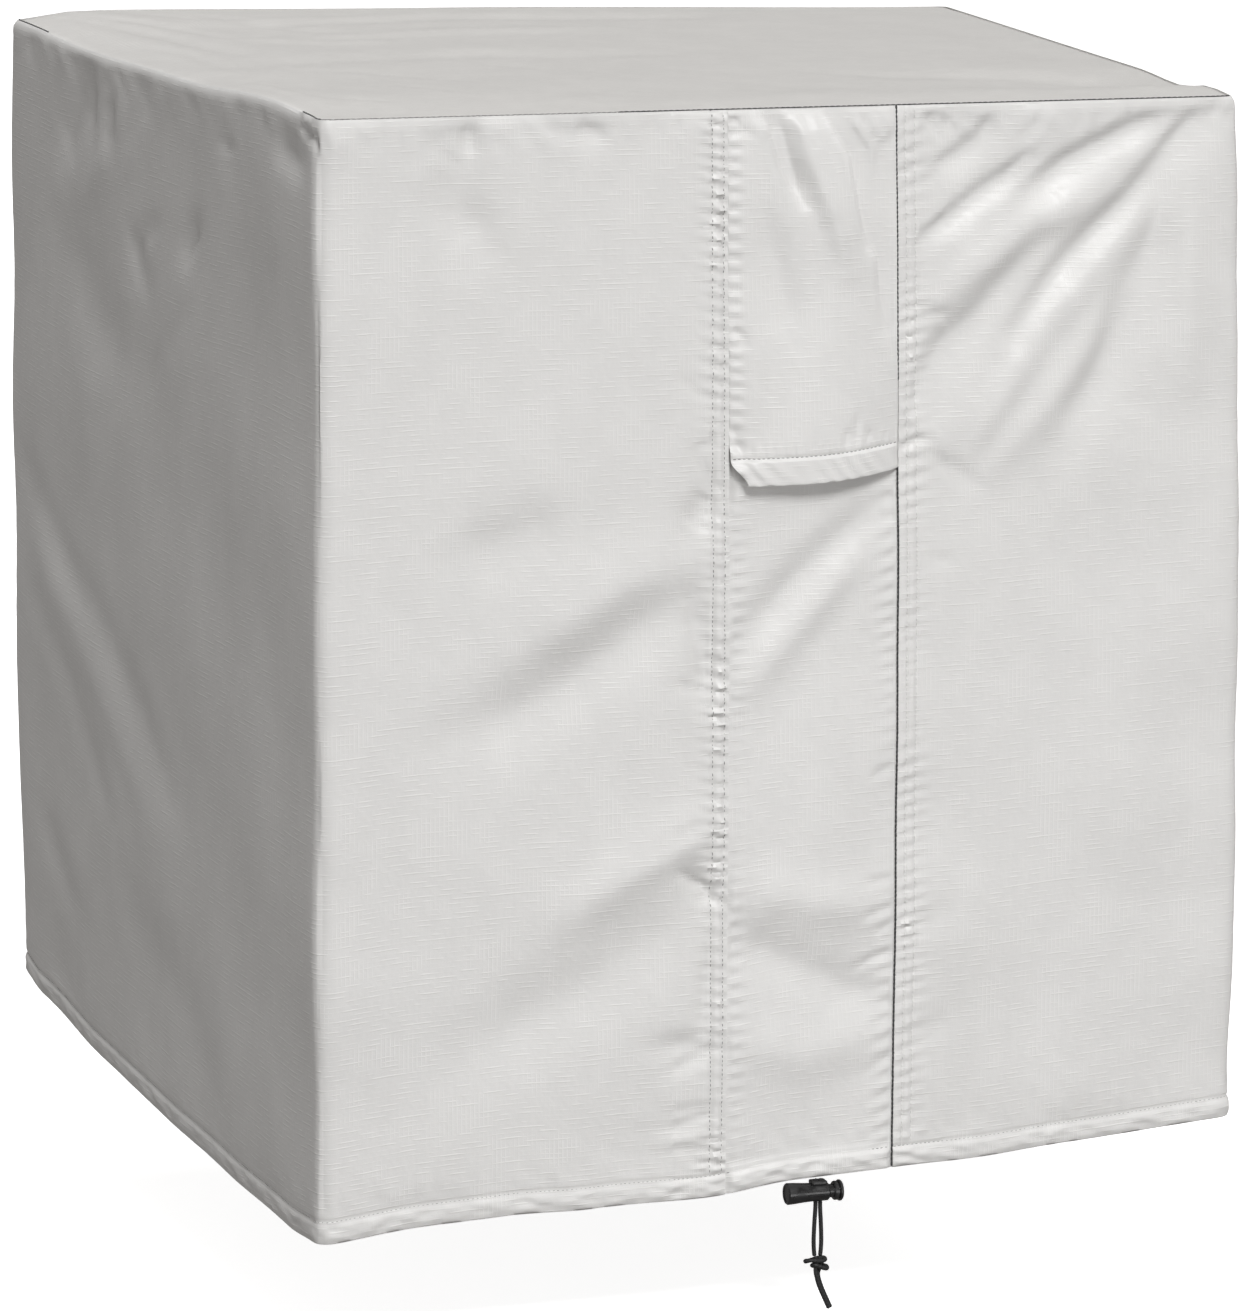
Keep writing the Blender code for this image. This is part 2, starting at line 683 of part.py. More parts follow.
def build_plunger(material, collection, cutters):
    """The spring button that slides into the barrel and lets the strands go."""
    start, slot, hem = lock_places()
    mouth = start.x + BARREL_LENGTH
    stem = PLUNGER_STEM
    head = stem + HEAD_THICKNESS
    profile = (
        (0.0, head),
        (HEAD_RADIUS - 0.0030, head),
        (HEAD_RADIUS - 0.0008, head - 0.0005),
        (HEAD_RADIUS, head - 0.0014),
        (HEAD_RADIUS, head - 0.0026),
        (HEAD_RADIUS - 0.0010, head - 0.0030),
        (HEAD_RADIUS - 0.0022, head - 0.0031),
        (HEAD_RADIUS - 0.0022, head - 0.0036),
        (HEAD_RADIUS - 0.0008, head - 0.0040),
        (HEAD_RADIUS - 0.0008, stem + 0.0008),
        (HEAD_RADIUS - 0.0016, stem),
        (PLUNGER_RADIUS, stem),
        (PLUNGER_RADIUS, 0.0006 - PLUNGER_REACH),
        (PLUNGER_RADIUS - 0.0006, -PLUNGER_REACH),
        (0.0, -PLUNGER_REACH),
    )
    plunger = turned_piece("cord_lock_plunger", profile, 32, material, collection)
    plunger.location = (mouth, start.y, start.z)
    long = 2 * CORD_DIAMETER + 3 * GAP + PLUNGER_TRAVEL
    size = (long, CORD_DIAMETER + 2 * GAP, 0.04)
    place = (slot + PLUNGER_TRAVEL / 2, start.y, start.z)
    boolean(plunger, add_cutter("plunger_slot", size, place, cutters), "DIFFERENCE")
    return plunger


def smooth_route(points, pitch):
    """A smooth curve through the points, as points about a pitch apart."""
    ends = [points[0] * 2 - points[1]] + list(points) + [points[-1] * 2 - points[-2]]
    route = [points[0]]
    for a, b, c, d in zip(ends, ends[1:], ends[2:], ends[3:]):
        count = max(1, round((c - b).length / pitch))
        for k in range(1, count + 1):
            t = k / count
            route.append(
                0.5
                * (
                    b * 2
                    + (c - a) * t
                    + (a * 2 - b * 5 + c * 4 - d) * t * t
                    + (b * 3 - a - c * 3 + d) * t ** 3
                )
            )
    return route


def tube(name, route, diameter, material, collection):
    """A round cord along a route, as a mesh with welded ends."""
    curve = bpy.data.curves.new(name, "CURVE")
    curve.dimensions = "3D"
    curve.bevel_depth = diameter / 2
    curve.bevel_resolution = 2
    curve.use_fill_caps = True
    spline = curve.splines.new("POLY")
    spline.points.add(len(route) - 1)
    for point, place in zip(spline.points, route):
        point.co = (*place, 1.0)
    holder = bpy.data.objects.new(name + "_line", curve)
    collection.objects.link(holder)
    bpy.context.view_layer.update()
    mesh = bpy.data.meshes.new_from_object(
        holder.evaluated_get(bpy.context.evaluated_depsgraph_get())
    )
    mesh.name = name
    bpy.data.objects.remove(holder)
    work = bmesh.new()
    work.from_mesh(mesh)
    bmesh.ops.remove_doubles(work, verts=work.verts, dist=0.00002)
    bmesh.ops.recalc_face_normals(work, faces=work.faces)
    work.to_mesh(mesh)
    work.free()
    mesh.materials.clear()
    return add_object(name, mesh, material, collection)


def strand_route(side):
    """The middle line of one strand, from under the hem through the lock to the knot."""
    start, slot, hem = lock_places()
    step = (CORD_DIAMETER + GAP) / 2
    x = slot + side * step
    top = hem.z - GAP - 0.0002
    spreads = ((0.0, 0.0), (0.021, 0.0), (0.034, 0.0007), (0.047, 0.0012))
    spreads += ((0.055, 0.0010), (STRAND_LENGTH, 0.0004))
    points = [Vector((x + side * s, start.y, top - d)) for d, s in spreads]
    return smooth_route(points, 0.004)


def build_knot(material, collection, cutters):
    """The knot that ties both strands, with its two free ends."""
    start, slot, hem = lock_places()
    top = hem.z - GAP - 0.0002 - STRAND_LENGTH - GAP
    radius = CORD_DIAMETER / 2
    middle = Vector((slot, start.y, top))
    core = []
    for side in (-1, 1):
        base = middle + Vector((side * radius * 0.98, 0, 0))
        drift = Vector((0.0105, 0.0, -TAIL_LENGTH))
        steps = ((0.0, 0.0), (-0.006, 0.0006), (-0.010, 0.0002))
        points = [base + Vector((dx, side * 0.0006, z)) for z, dx in steps]
        foot = base + Vector((-side * 0.0006, side * 0.0011, -KNOT_HEIGHT))
        points += [foot, foot + drift * 0.35 - Vector((0.001, 0, 0)), foot + drift]
        route = smooth_route(points, 0.003)
        core.append(tube(f"knot_end_{side + 2}", route, CORD_DIAMETER, material, cutters))
    wraps = ((-0.0028, -0.0016, 0.0080, 0.0030, 0.05), (-0.0080, 0.0020, 0.0060, 0.0029, -0.20))
    for index, (z, x, wide, deep, tilt) in enumerate(wraps):
        ring = []
        for k in range(21):
            turn = 2 * math.pi * k / 20
            wave = 0.0008 * math.sin(2 * turn)
            place = Vector((wide * math.cos(turn), deep * math.sin(turn), wave))
            place.z += math.tan(tilt) * place.x
            ring.append(middle + place + Vector((x, 0, z)))
        core.append(ring_tube(f"knot_wrap_{index}", ring[:-1], radius, material, cutters))
    knot = core[0]
    for other in core[1:]:
        other.hide_render = True
        other.display_type = "WIRE"
        boolean(knot, other, "UNION")
    cutters.objects.unlink(knot)
    collection.objects.link(knot)
    knot.name = "cord_knot"
    return knot


def ring_tube(name, points, radius, material, collection):
    """A closed loop of cord through the points."""
    work = bmesh.new()
    sides = 8
    count = len(points)
    rings = []
    for k, place in enumerate(points):
        run = (points[(k + 1) % count] - points[k - 1]).normalized()
        up = Vector((0, 0, 1))
        across = run.cross(up).normalized()
        rise = across.cross(run).normalized()
        ring = []
        for s in range(sides):
            turn = 2 * math.pi * s / sides
            offset = across * math.cos(turn) + rise * math.sin(turn)
            ring.append(work.verts.new(place + offset * radius))
        rings.append(ring)
    for k in range(count):
        low, high = rings[k], rings[(k + 1) % count]
        for s in range(sides):
            t = (s + 1) % sides
            work.faces.new((low[s], low[t], high[t], high[s]))
    bmesh.ops.recalc_face_normals(work, faces=work.faces)
    mesh = bpy.data.meshes.new(name)
    work.to_mesh(mesh)
    work.free()
    return add_object(name, mesh, material, collection)


def new_collection(name):
    """A collection of that name in the scene."""
    collection = bpy.data.collections.new(name)
    bpy.context.scene.collection.children.link(collection)
    return collection


def main():
    """Clears the scene and makes the cover."""
    for item in list(bpy.data.objects):
        bpy.data.objects.remove(item, do_unlink=True)
    cover = new_collection("air_conditioner_cover")
    cutters = new_collection("cutters")

    wall_cloth = new_material("wall_cloth", (0.62, 0.62, 0.61), 0.55)
    top_cloth = new_material("top_cloth", (0.60, 0.59, 0.57), 0.55)
    strip_cloth = new_material("strip_cloth", (0.63, 0.63, 0.62), 0.52)
    flap_cloth = new_material("flap_cloth", (0.64, 0.64, 0.63), 0.50)
    barrel_plastic = new_material("barrel_plastic", (0.018, 0.018, 0.019), 0.38)
    plunger_plastic = new_material("plunger_plastic", (0.020, 0.020, 0.021), 0.35)
    left_cord = new_material("left_cord", (0.012, 0.012, 0.013), 0.75)
    right_cord = new_material("right_cord", (0.013, 0.013, 0.014), 0.75)
    knot_cord = new_material("knot_cord", (0.012, 0.012, 0.012), 0.75)

    build_top_panel(top_cloth, cover)
    build_wall_band(wall_cloth, cover)
    build_centre_strip(strip_cloth, cover)
    build_vent_flap(flap_cloth, cover)
    build_barrel(barrel_plastic, cover, cutters)
    build_plunger(plunger_plastic, cover, cutters)
    tube("cord_strand_left", strand_route(-1), CORD_DIAMETER, left_cord, cover)
    tube("cord_strand_right", strand_route(1), CORD_DIAMETER, right_cord, cover)
    build_knot(knot_cord, cover, cutters)


main()
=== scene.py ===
"""Fitted cover for an outdoor air conditioner unit: cloth, sewing, drawcord and lock.

Metres where nothing says mm, +Z up, front towards -Y. The cloth is worked out on the unrolled
girth: "along" runs from the front left corner to the right and round the back, "down" runs from
the top seam to the hem.
"""

import logging
import math
from dataclasses import dataclass
from enum import Enum

import bmesh
import bpy
import numpy as np
from mathutils import Matrix, Vector


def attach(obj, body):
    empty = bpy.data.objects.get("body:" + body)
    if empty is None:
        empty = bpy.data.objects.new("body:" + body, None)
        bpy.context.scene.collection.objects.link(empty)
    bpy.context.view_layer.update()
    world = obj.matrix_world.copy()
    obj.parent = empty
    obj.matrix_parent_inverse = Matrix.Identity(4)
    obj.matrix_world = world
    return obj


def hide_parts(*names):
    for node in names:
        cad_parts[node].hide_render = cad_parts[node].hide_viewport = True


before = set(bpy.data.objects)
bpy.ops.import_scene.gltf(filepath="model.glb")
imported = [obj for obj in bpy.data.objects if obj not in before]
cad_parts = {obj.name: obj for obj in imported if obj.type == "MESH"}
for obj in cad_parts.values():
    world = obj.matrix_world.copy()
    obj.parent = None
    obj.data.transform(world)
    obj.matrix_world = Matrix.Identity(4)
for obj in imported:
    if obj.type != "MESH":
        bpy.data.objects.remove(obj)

Array = np.ndarray
Piece = bpy.types.Object
Socket = bpy.types.NodeSocket
LOG = logging.getLogger("cover")
MM = 0.001
TURN = 2 * math.pi
COVER = "cover"
UV_NAME = "cloth_metres"
SHARP_ANGLE = 62.0


# Sizes and small helpers


@dataclass(frozen=True)
class CoverSizes:
    """The cover's own sizes, in metres."""

    width: float = 0.762
    height: float = 0.813
    corner_radius: float = 0.014
    cloth: float = 0.0011
    layer: float = 0.00195
    top_rise: float = 0.0042
    left_seam: float = 0.332
    right_seam: float = 0.472
    seam_lap: float = 0.008
    hem_height: float = 0.016
    flap_length: float = 0.277
    flap_hem: float = 0.020
    flap_free_from: float = 0.235
    turned_edge: float = 0.014
    sewn_from: float = 0.004
    sewn_to: float = 0.797
    relief_fades: float = 0.790
    rim_zone: float = 0.052
    hem_zone: float = 0.785

    @property
    def girth(self) -> float:
        """The way once round the cover."""
        return 4 * self.width

    @property
    def strip_middle(self) -> float:
        """The middle between the two front seams, on the girth."""
        return (self.left_seam + self.right_seam) / 2


SIZES = CoverSizes()


@dataclass(frozen=True)
class CordSizes:
    """The drawcord, its lock and its knot, in metres."""

    diameter: float = 0.0034
    gap: float = 0.00035
    lock_along: float = 0.400
    barrel_length: float = 0.034
    barrel_drop: float = 0.0110
    slot_from_end: float = 0.0080
    strand_length: float = 0.061
    knot_height: float = 0.0145
    tail_length: float = 0.027


CORD = CordSizes()


def smooth_step(low: float, high: float, value: Array) -> Array:
    """0 below low, 1 above high, with a smooth rise between them.

    Args:
        low: Where the rise starts.
        high: Where the rise ends.
        value: One number or an array.

    Returns:
        The share of the rise, from 0 to 1.
    """
    t = np.clip((value - low) / (high - low), 0.0, 1.0)
    return t * t * (3 - 2 * t)


def bump(distance: Array, half_width: float) -> Array:
    """A soft hill of height 1 that fades out over half_width.

    Args:
        distance: How far each point is from the middle of the hill.
        half_width: Where the hill has fallen to about a third.

    Returns:
        The height of the hill at each point.
    """
    return np.exp(-((distance / half_width) ** 2))


@dataclass(frozen=True)
class SeamDrop:
    """How far a seam hangs below a straight line, from a table of (along, drop) rows in mm."""

    rows: tuple

    def at(self, along: Array) -> Array:
        """The drop in mm at each place along, in mm.

        Args:
            along: Places on the girth, in mm.

        Returns:
            The drop at each place.
        """
        table = np.array(self.rows, float)
        k = np.clip(np.searchsorted(table[:, 0], along, side="right") - 1, 0, len(table) - 2)
        low, high = table[k], table[k + 1]
        t = np.clip((along - low[..., 0]) / (high[..., 0] - low[..., 0]), 0.0, 1.0)
        return low[..., 1] + (high[..., 1] - low[..., 1]) * t * t * (3 - 2 * t)


@dataclass(frozen=True)
class Crease:
    """A trough or ridge in the cloth: the (across, down) points it follows, in mm."""

    points: tuple
    half_width: float
    height: float
    edge: float = 0.0
    end_share: float = 0.45
    end_rise: float = 2.6

    def at(self, across: Array, down: Array) -> Array:
        """The height in mm that this crease gives the cloth.

        Args:
            across: Places across the cloth, in mm.
            down: Places down the cloth, in mm.

        Returns:
            The height at each place. Where the crease has an edge, its left side is steeper.
        """
        nearest = np.full(np.shape(across), np.inf)
        lean = np.zeros(np.shape(across))
        ends = np.zeros(np.shape(across))
        spans = list(zip(self.points, self.points[1:]))
        for index, ((x0, z0), (x1, z1)) in enumerate(spans):
            dx, dz = x1 - x0, z1 - z0
            length = math.hypot(dx, dz)
            reach = ((across - x0) * dx + (down - z0) * dz) / (length * length)
            t = np.clip(reach, 0.0, 1.0)
            gap = np.hypot(across - x0 - t * dx, down - z0 - t * dz)
            side = ((across - x0) * dz - (down - z0) * dx) / length
            closer = gap < nearest
            nearest = np.where(closer, gap, nearest)
            lean = np.where(closer, side, lean)
            place = (index + t) / len(spans)
            ends = np.where(closer, place, ends)
        width = self.half_width * (1 + self.edge * np.tanh(lean / self.half_width * 2))
        taper = np.minimum(1.0, self.end_share + self.end_rise * np.minimum(ends, 1 - ends))
        return self.height * taper * np.exp(-((nearest / width) ** 2))


def creases(*rows: tuple) -> tuple:
    """The creases that rows of (points, half width, height, edge) describe."""
    return tuple(Crease(*row) for row in rows)


def folds(group: tuple, across: Array, down: Array) -> Array:
    """The height in mm that a group of creases gives the cloth.

    Args:
        group: The creases of the group.
        across: Places across the cloth, in mm.
        down: Places down the cloth, in mm.

    Returns:
        The sum of their heights at each place.
    """
    total = np.zeros(np.shape(across))
    for crease in group:
        total = total + crease.at(across, down)
    return total


@dataclass(frozen=True)
class Undulation:
    """Soft uneven waves that slack cloth has between its folds."""

    seed: int
    longest: float
    shortest: float
    height: float
    stretch: float = 1.0
    waves: int = 9

    def at(self, across: Array, down: Array) -> Array:
        """The height in mm of the waves.

        Args:
            across: Places across the cloth, in mm.
            down: Places down the cloth, in mm.

        Returns:
            The height at each place.
        """
        draw = np.random.default_rng(self.seed)
        total = np.zeros(np.shape(across))
        for _ in range(self.waves):
            turn = draw.uniform(0, math.pi)
            length = draw.uniform(self.shortest, self.longest)
            phase = draw.uniform(0, TURN)
            run = across * math.cos(turn) / self.stretch + down * math.sin(turn)
            total = total + np.sin(TURN * run / length + phase)
        return total * self.height / math.sqrt(self.waves)


# The cloth's folds, in mm


RIGHT_MAIN = creases(
    (((556, 9), (541, 25), (524, 38), (507, 47)), 9, -5, 0.35),
    (((581, 42), (563, 55), (544, 65), (517, 84), (495, 99)), 8, -7, 0.4),
    (((702, 14), (670, 22), (640, 35), (615, 46), (596, 60), (581, 70)), 11, -8, 0.35),
    (((728, 12), (705, 37), (670, 74), (645, 96), (626, 113), (604, 135), (570, 176)),
     14, -10, 0.35),
    (((590, 108), (557, 140), (539, 161), (512, 180), (491, 212)), 16, -7, 0.3),
    (((700, 77), (681, 118), (656, 164), (641, 209), (607, 262)), 18, -7, 0.3),
    (((650, 69), (581, 93), (508, 144)), 14, 5),
    (((680, 84), (636, 125), (592, 172), (557, 225), (530, 262)), 13, 5),
    (((718, 73), (719, 211)), 18, 4),
    (((663, 144), (631, 190), (597, 227), (545, 281)), 13, 3.5),
    (((540, 220), (500, 262)), 16, 3),
)
RIGHT_FINE = creases(
    (((725, 15), (712, 25), (692, 38)), 4, -2.2, 0.3),
    (((590, 13), (576, 26)), 4, -1.8),
    (((509, 9), (521, 20)), 3.5, -1.6),
    (((497, 8), (507, 24)), 3.5, -1.8),
    (((520, 8), (538, 14)), 3.5, -1.4),
    (((517, 158), (493, 157)), 5, -1.8),
    (((684, 235), (654, 233)), 5, -1.0),
    (((501, 267), (520, 279), (543, 292)), 6, -2.0),
    (((519, 345), (500, 344)), 5, -1.4),
    (((488, 628), (520, 612)), 10, -1.2),
    (((488, 715), (520, 700)), 12, -1.4),
    (((473, 262), (482, 254), (497, 251)), 3.5, -2.0),
    (((488, 214), (480, 238)), 4, -1.6),
    (((476, 226), (489, 246)), 4, 1.4),
)
LEFT_MAIN = creases(
    (((124, 0), (124, 29)), 9, -4),
    (((181, 1), (229, 19)), 10, -3),
    (((103, 32), (127, 94)), 22, -5),
    (((197, 299), (115, 325)), 24, -5),
    (((289, 357), (245, 394), (169, 438), (115, 453)), 26, -7),
    (((300, 330), (230, 352), (160, 390)), 24, 5),
    (((319, 284), (301, 309)), 14, -5),
    (((302, 363), (316, 431)), 12, -5),
    (((315, 529), (276, 548), (200, 590)), 18, 5),
    (((303, 568), (320, 588)), 9, -4),
    (((290, 600), (210, 650), (120, 690)), 28, -5),
    (((272, 696), (314, 694)), 9, -3),
)
LEFT_FINE = creases(
    (((282, 716), (325, 699)), 6, -2.4),
    (((278, 759), (325, 748)), 4, -1.8),
    (((262, 771), (325, 763)), 3.5, 1.2),
    (((292, 196), (318, 214)), 5, -1.3),
    (((304, 249), (323, 243)), 4, -1.4),
    (((306, 253), (319, 276)), 5, -1.6),
    (((121, 3), (123, 26)), 4.5, -2.4),
    (((103, 28), (115, 35)), 4, -1.8),
    (((146, 14), (150, 25)), 4, -1.6),
    (((184, 3), (193, 22)), 4, -2.2, 0.3),
    (((207, 3), (231, 19)), 4, -2.0, 0.3),
    (((165, 4), (170, 16)), 3.5, -1.4),
    (((84, 59), (127, 77), (151, 108)), 12, -1.6),
    (((260, 550), (284, 539), (313, 528)), 7, -2.2),
    (((291, 564), (310, 575), (327, 591)), 4, -2.2),
    (((314, 629), (313, 658), (311, 682)), 7, -1.8),
    (((277, 746), (318, 743)), 4, -1.3),
    (((243, 757), (318, 762)), 4, -0.8),
    (((229, 769), (289, 774), (316, 775)), 4, -0.9),
    (((288, 422), (316, 431)), 5, -1.5),
)
STRIP_MAIN = creases(
    (((340, 266), (400, 262), (440, 258)), 24, 7),
    (((459, 300), (400, 345), (343, 396)), 15, -5),
    (((440, 330), (400, 375), (350, 430)), 14, 4),
    (((345, 622), (369, 638), (427, 668), (462, 684)), 17, -5),
    (((350, 585), (400, 600), (460, 610)), 20, 4),
    (((345, 700), (400, 720), (455, 705)), 20, 3),
)
STRIP_FINE = creases(
    (((434, 328), (439, 351), (447, 392)), 4, 1.2),
    (((469, 588), (447, 589)), 3.5, -1.2),
    (((469, 608), (445, 616)), 4, -1.4),
    (((469, 624), (455, 629)), 3.5, -1.4),
    (((470, 644), (457, 647), (438, 656)), 4, -1.6),
    (((470, 730), (448, 738)), 4, -1.0),
    (((470, 500), (452, 508)), 4, -1.0),
)
FLAP_MAIN = creases(
    (((367, 4), (378, 40), (392, 68)), 8, -7, 0.2),
    (((384, 4), (398, 44), (410, 78)), 7, 3),
    (((416, 4), (437, 36), (448, 102)), 8, -10, 0.3),
    (((400, 8), (414, 60), (428, 120)), 11, 5),
    (((360, 80), (372, 130), (385, 170)), 14, -4),
    (((462, 32), (462, 164)), 8, -6.5),
)
FLAP_FINE = creases(
    (((331, 6), (350, 18)), 4, -2.0),
    (((443, 7), (455, 27)), 4.5, -2.4),
    (((334, 159), (345, 172)), 4, -1.6),
    (((374, 14), (389, 67)), 4.5, -2.0),
    (((416, 6), (438, 35), (448, 89)), 4, -2.4),
    (((472, 19), (459, 38), (457, 107), (463, 149), (472, 187)), 4, -2.6, -0.3),
    (((424, 240), (425, 252)), 3.5, -1.4),
    (((433, 232), (432, 250)), 3.5, -1.8),
    (((444, 243), (446, 250)), 3, -1.2),
    (((333, 236), (344, 258)), 5, -2.0),
)
SIDE_MAIN = creases(
    (((546, 23), (547, 59)), 14, -4),
    (((492, 33), (493, 68)), 14, -4),
    (((560, 28), (619, 92)), 22, -6),
    (((439, 133), (407, 165)), 13, -3),
    (((279, 106), (312, 131)), 13, -3),
    (((206, 34), (206, 48)), 15, -3),
    (((87, 26), (33, 35)), 12, -4),
    (((620, 150), (523, 215), (440, 230)), 36, -3),
    (((715, 370), (616, 423), (514, 457), (426, 507), (353, 554)), 22, -2.6),
    (((700, 425), (600, 470), (490, 530), (420, 580)), 22, 1.6),
    (((701, 473), (612, 522), (544, 575), (508, 607)), 20, -1.8),
    (((692, 658), (600, 712)), 22, -2),
    (((480, 660), (350, 700), (240, 760)), 32, -1.6),
)
SIDE_FINE = creases(
    (((50, 3), (25, 9), (2, 17)), 3.2, -3.2, 0.3),
    (((545, 25), (543, 59)), 7, -1.8),
    (((476, 5), (507, 23)), 7, -1.6),
    (((484, 31), (491, 53), (505, 70)), 7, -1.6),
    (((371, 114), (412, 128), (447, 170)), 9, -2.2),
    (((275, 104), (312, 133)), 8, -2.0),
    (((374, 214), (401, 248)), 9, -1.4),
    (((306, 169), (347, 212)), 10, -1.2),
    (((52, 20), (88, 42)), 9, -2.0),
    (((456, 24), (506, 79), (556, 115)), 14, 2.4),
    (((396, 36), (451, 85)), 12, 1.6),
    (((46, 41), (89, 108)), 12, 1.4),
)
FAR_MAIN = creases(
    (((820, 20), (900, 120), (960, 240)), 30, -6),
    (((1420, 30), (1340, 160), (1290, 300)), 34, -6),
    (((900, 520), (1100, 600), (1300, 640)), 40, -5),
    (((1600, 30), (1700, 170), (1760, 320)), 36, -6),
    (((2200, 30), (2110, 180), (2050, 330)), 34, -6),
    (((1650, 560), (1900, 620), (2150, 580)), 44, -5),
)
TOP_MAIN = creases(
    (((39, 720), (70, 600), (93, 465)), 14, -3),
    (((30, 250), (28, 127)), 9, 2.5),
    (((120, 640), (330, 690), (520, 680)), 20, -2.5),
    (((150, 560), (300, 600), (430, 600)), 18, 2),
    (((60, 380), (230, 430), (420, 410)), 26, -2.5),
    (((500, 240), (640, 200), (720, 120)), 26, -2.5),
)
TOP_FINE = creases(
    (((48, 734), (90, 661), (126, 568)), 8, -1.8),
    (((121, 740), (163, 693)), 8, -1.4),
    (((126, 568), (181, 537), (248, 547)), 10, 1.4),
    (((31, 241), (35, 192)), 5, 2.0),
    (((231, 705), (305, 739)), 9, -1.4),
    (((138, 322), (176, 281), (212, 219)), 7, -1.0),
    (((134, 203), (170, 122)), 7, -0.9),
    (((42, 160), (47, 108), (84, 79)), 6, -1.0),
    (((256, 365), (293, 313)), 8, -0.9),
    (((56, 790), (91, 738), (131, 699)), 10, -1.8),
    (((153, 695), (185, 623), (220, 596)), 10, -1.4),
    (((29, 564), (55, 476), (53, 334)), 8, -1.6),
    (((93, 326), (133, 318)), 6, -0.9),
)
HEM_DROP = SeamDrop((
    (0, 0), (79, -4), (151, -3), (223, 1), (321, 5), (386, 1), (469, 2), (544, 4), (618, 2),
    (762, 0), (1143, 7), (1524, 0), (1905, 7), (2286, -1), (2340, 6), (2508, 12), (2675, 12),
    (2835, 10), (2976, 6), (3048, 0),
))
RIM_DROP = SeamDrop((
    (0, 0), (762, 0), (822, -2), (896, 4), (1000, 1), (1524, 0), (1952, -5), (2227, -7),
    (2286, 0), (2495, 5), (2727, 3), (2936, -4), (3048, 0),
))
FRONT_SLACK = Undulation(seed=11, longest=190, shortest=80, height=0.9, stretch=1.4)
SIDE_SLACK = Undulation(seed=23, longest=260, shortest=120, height=1.0)
CRUMPLE = Undulation(seed=37, longest=34, shortest=15, height=0.16, stretch=1.2, waves=12)


# The cover's form


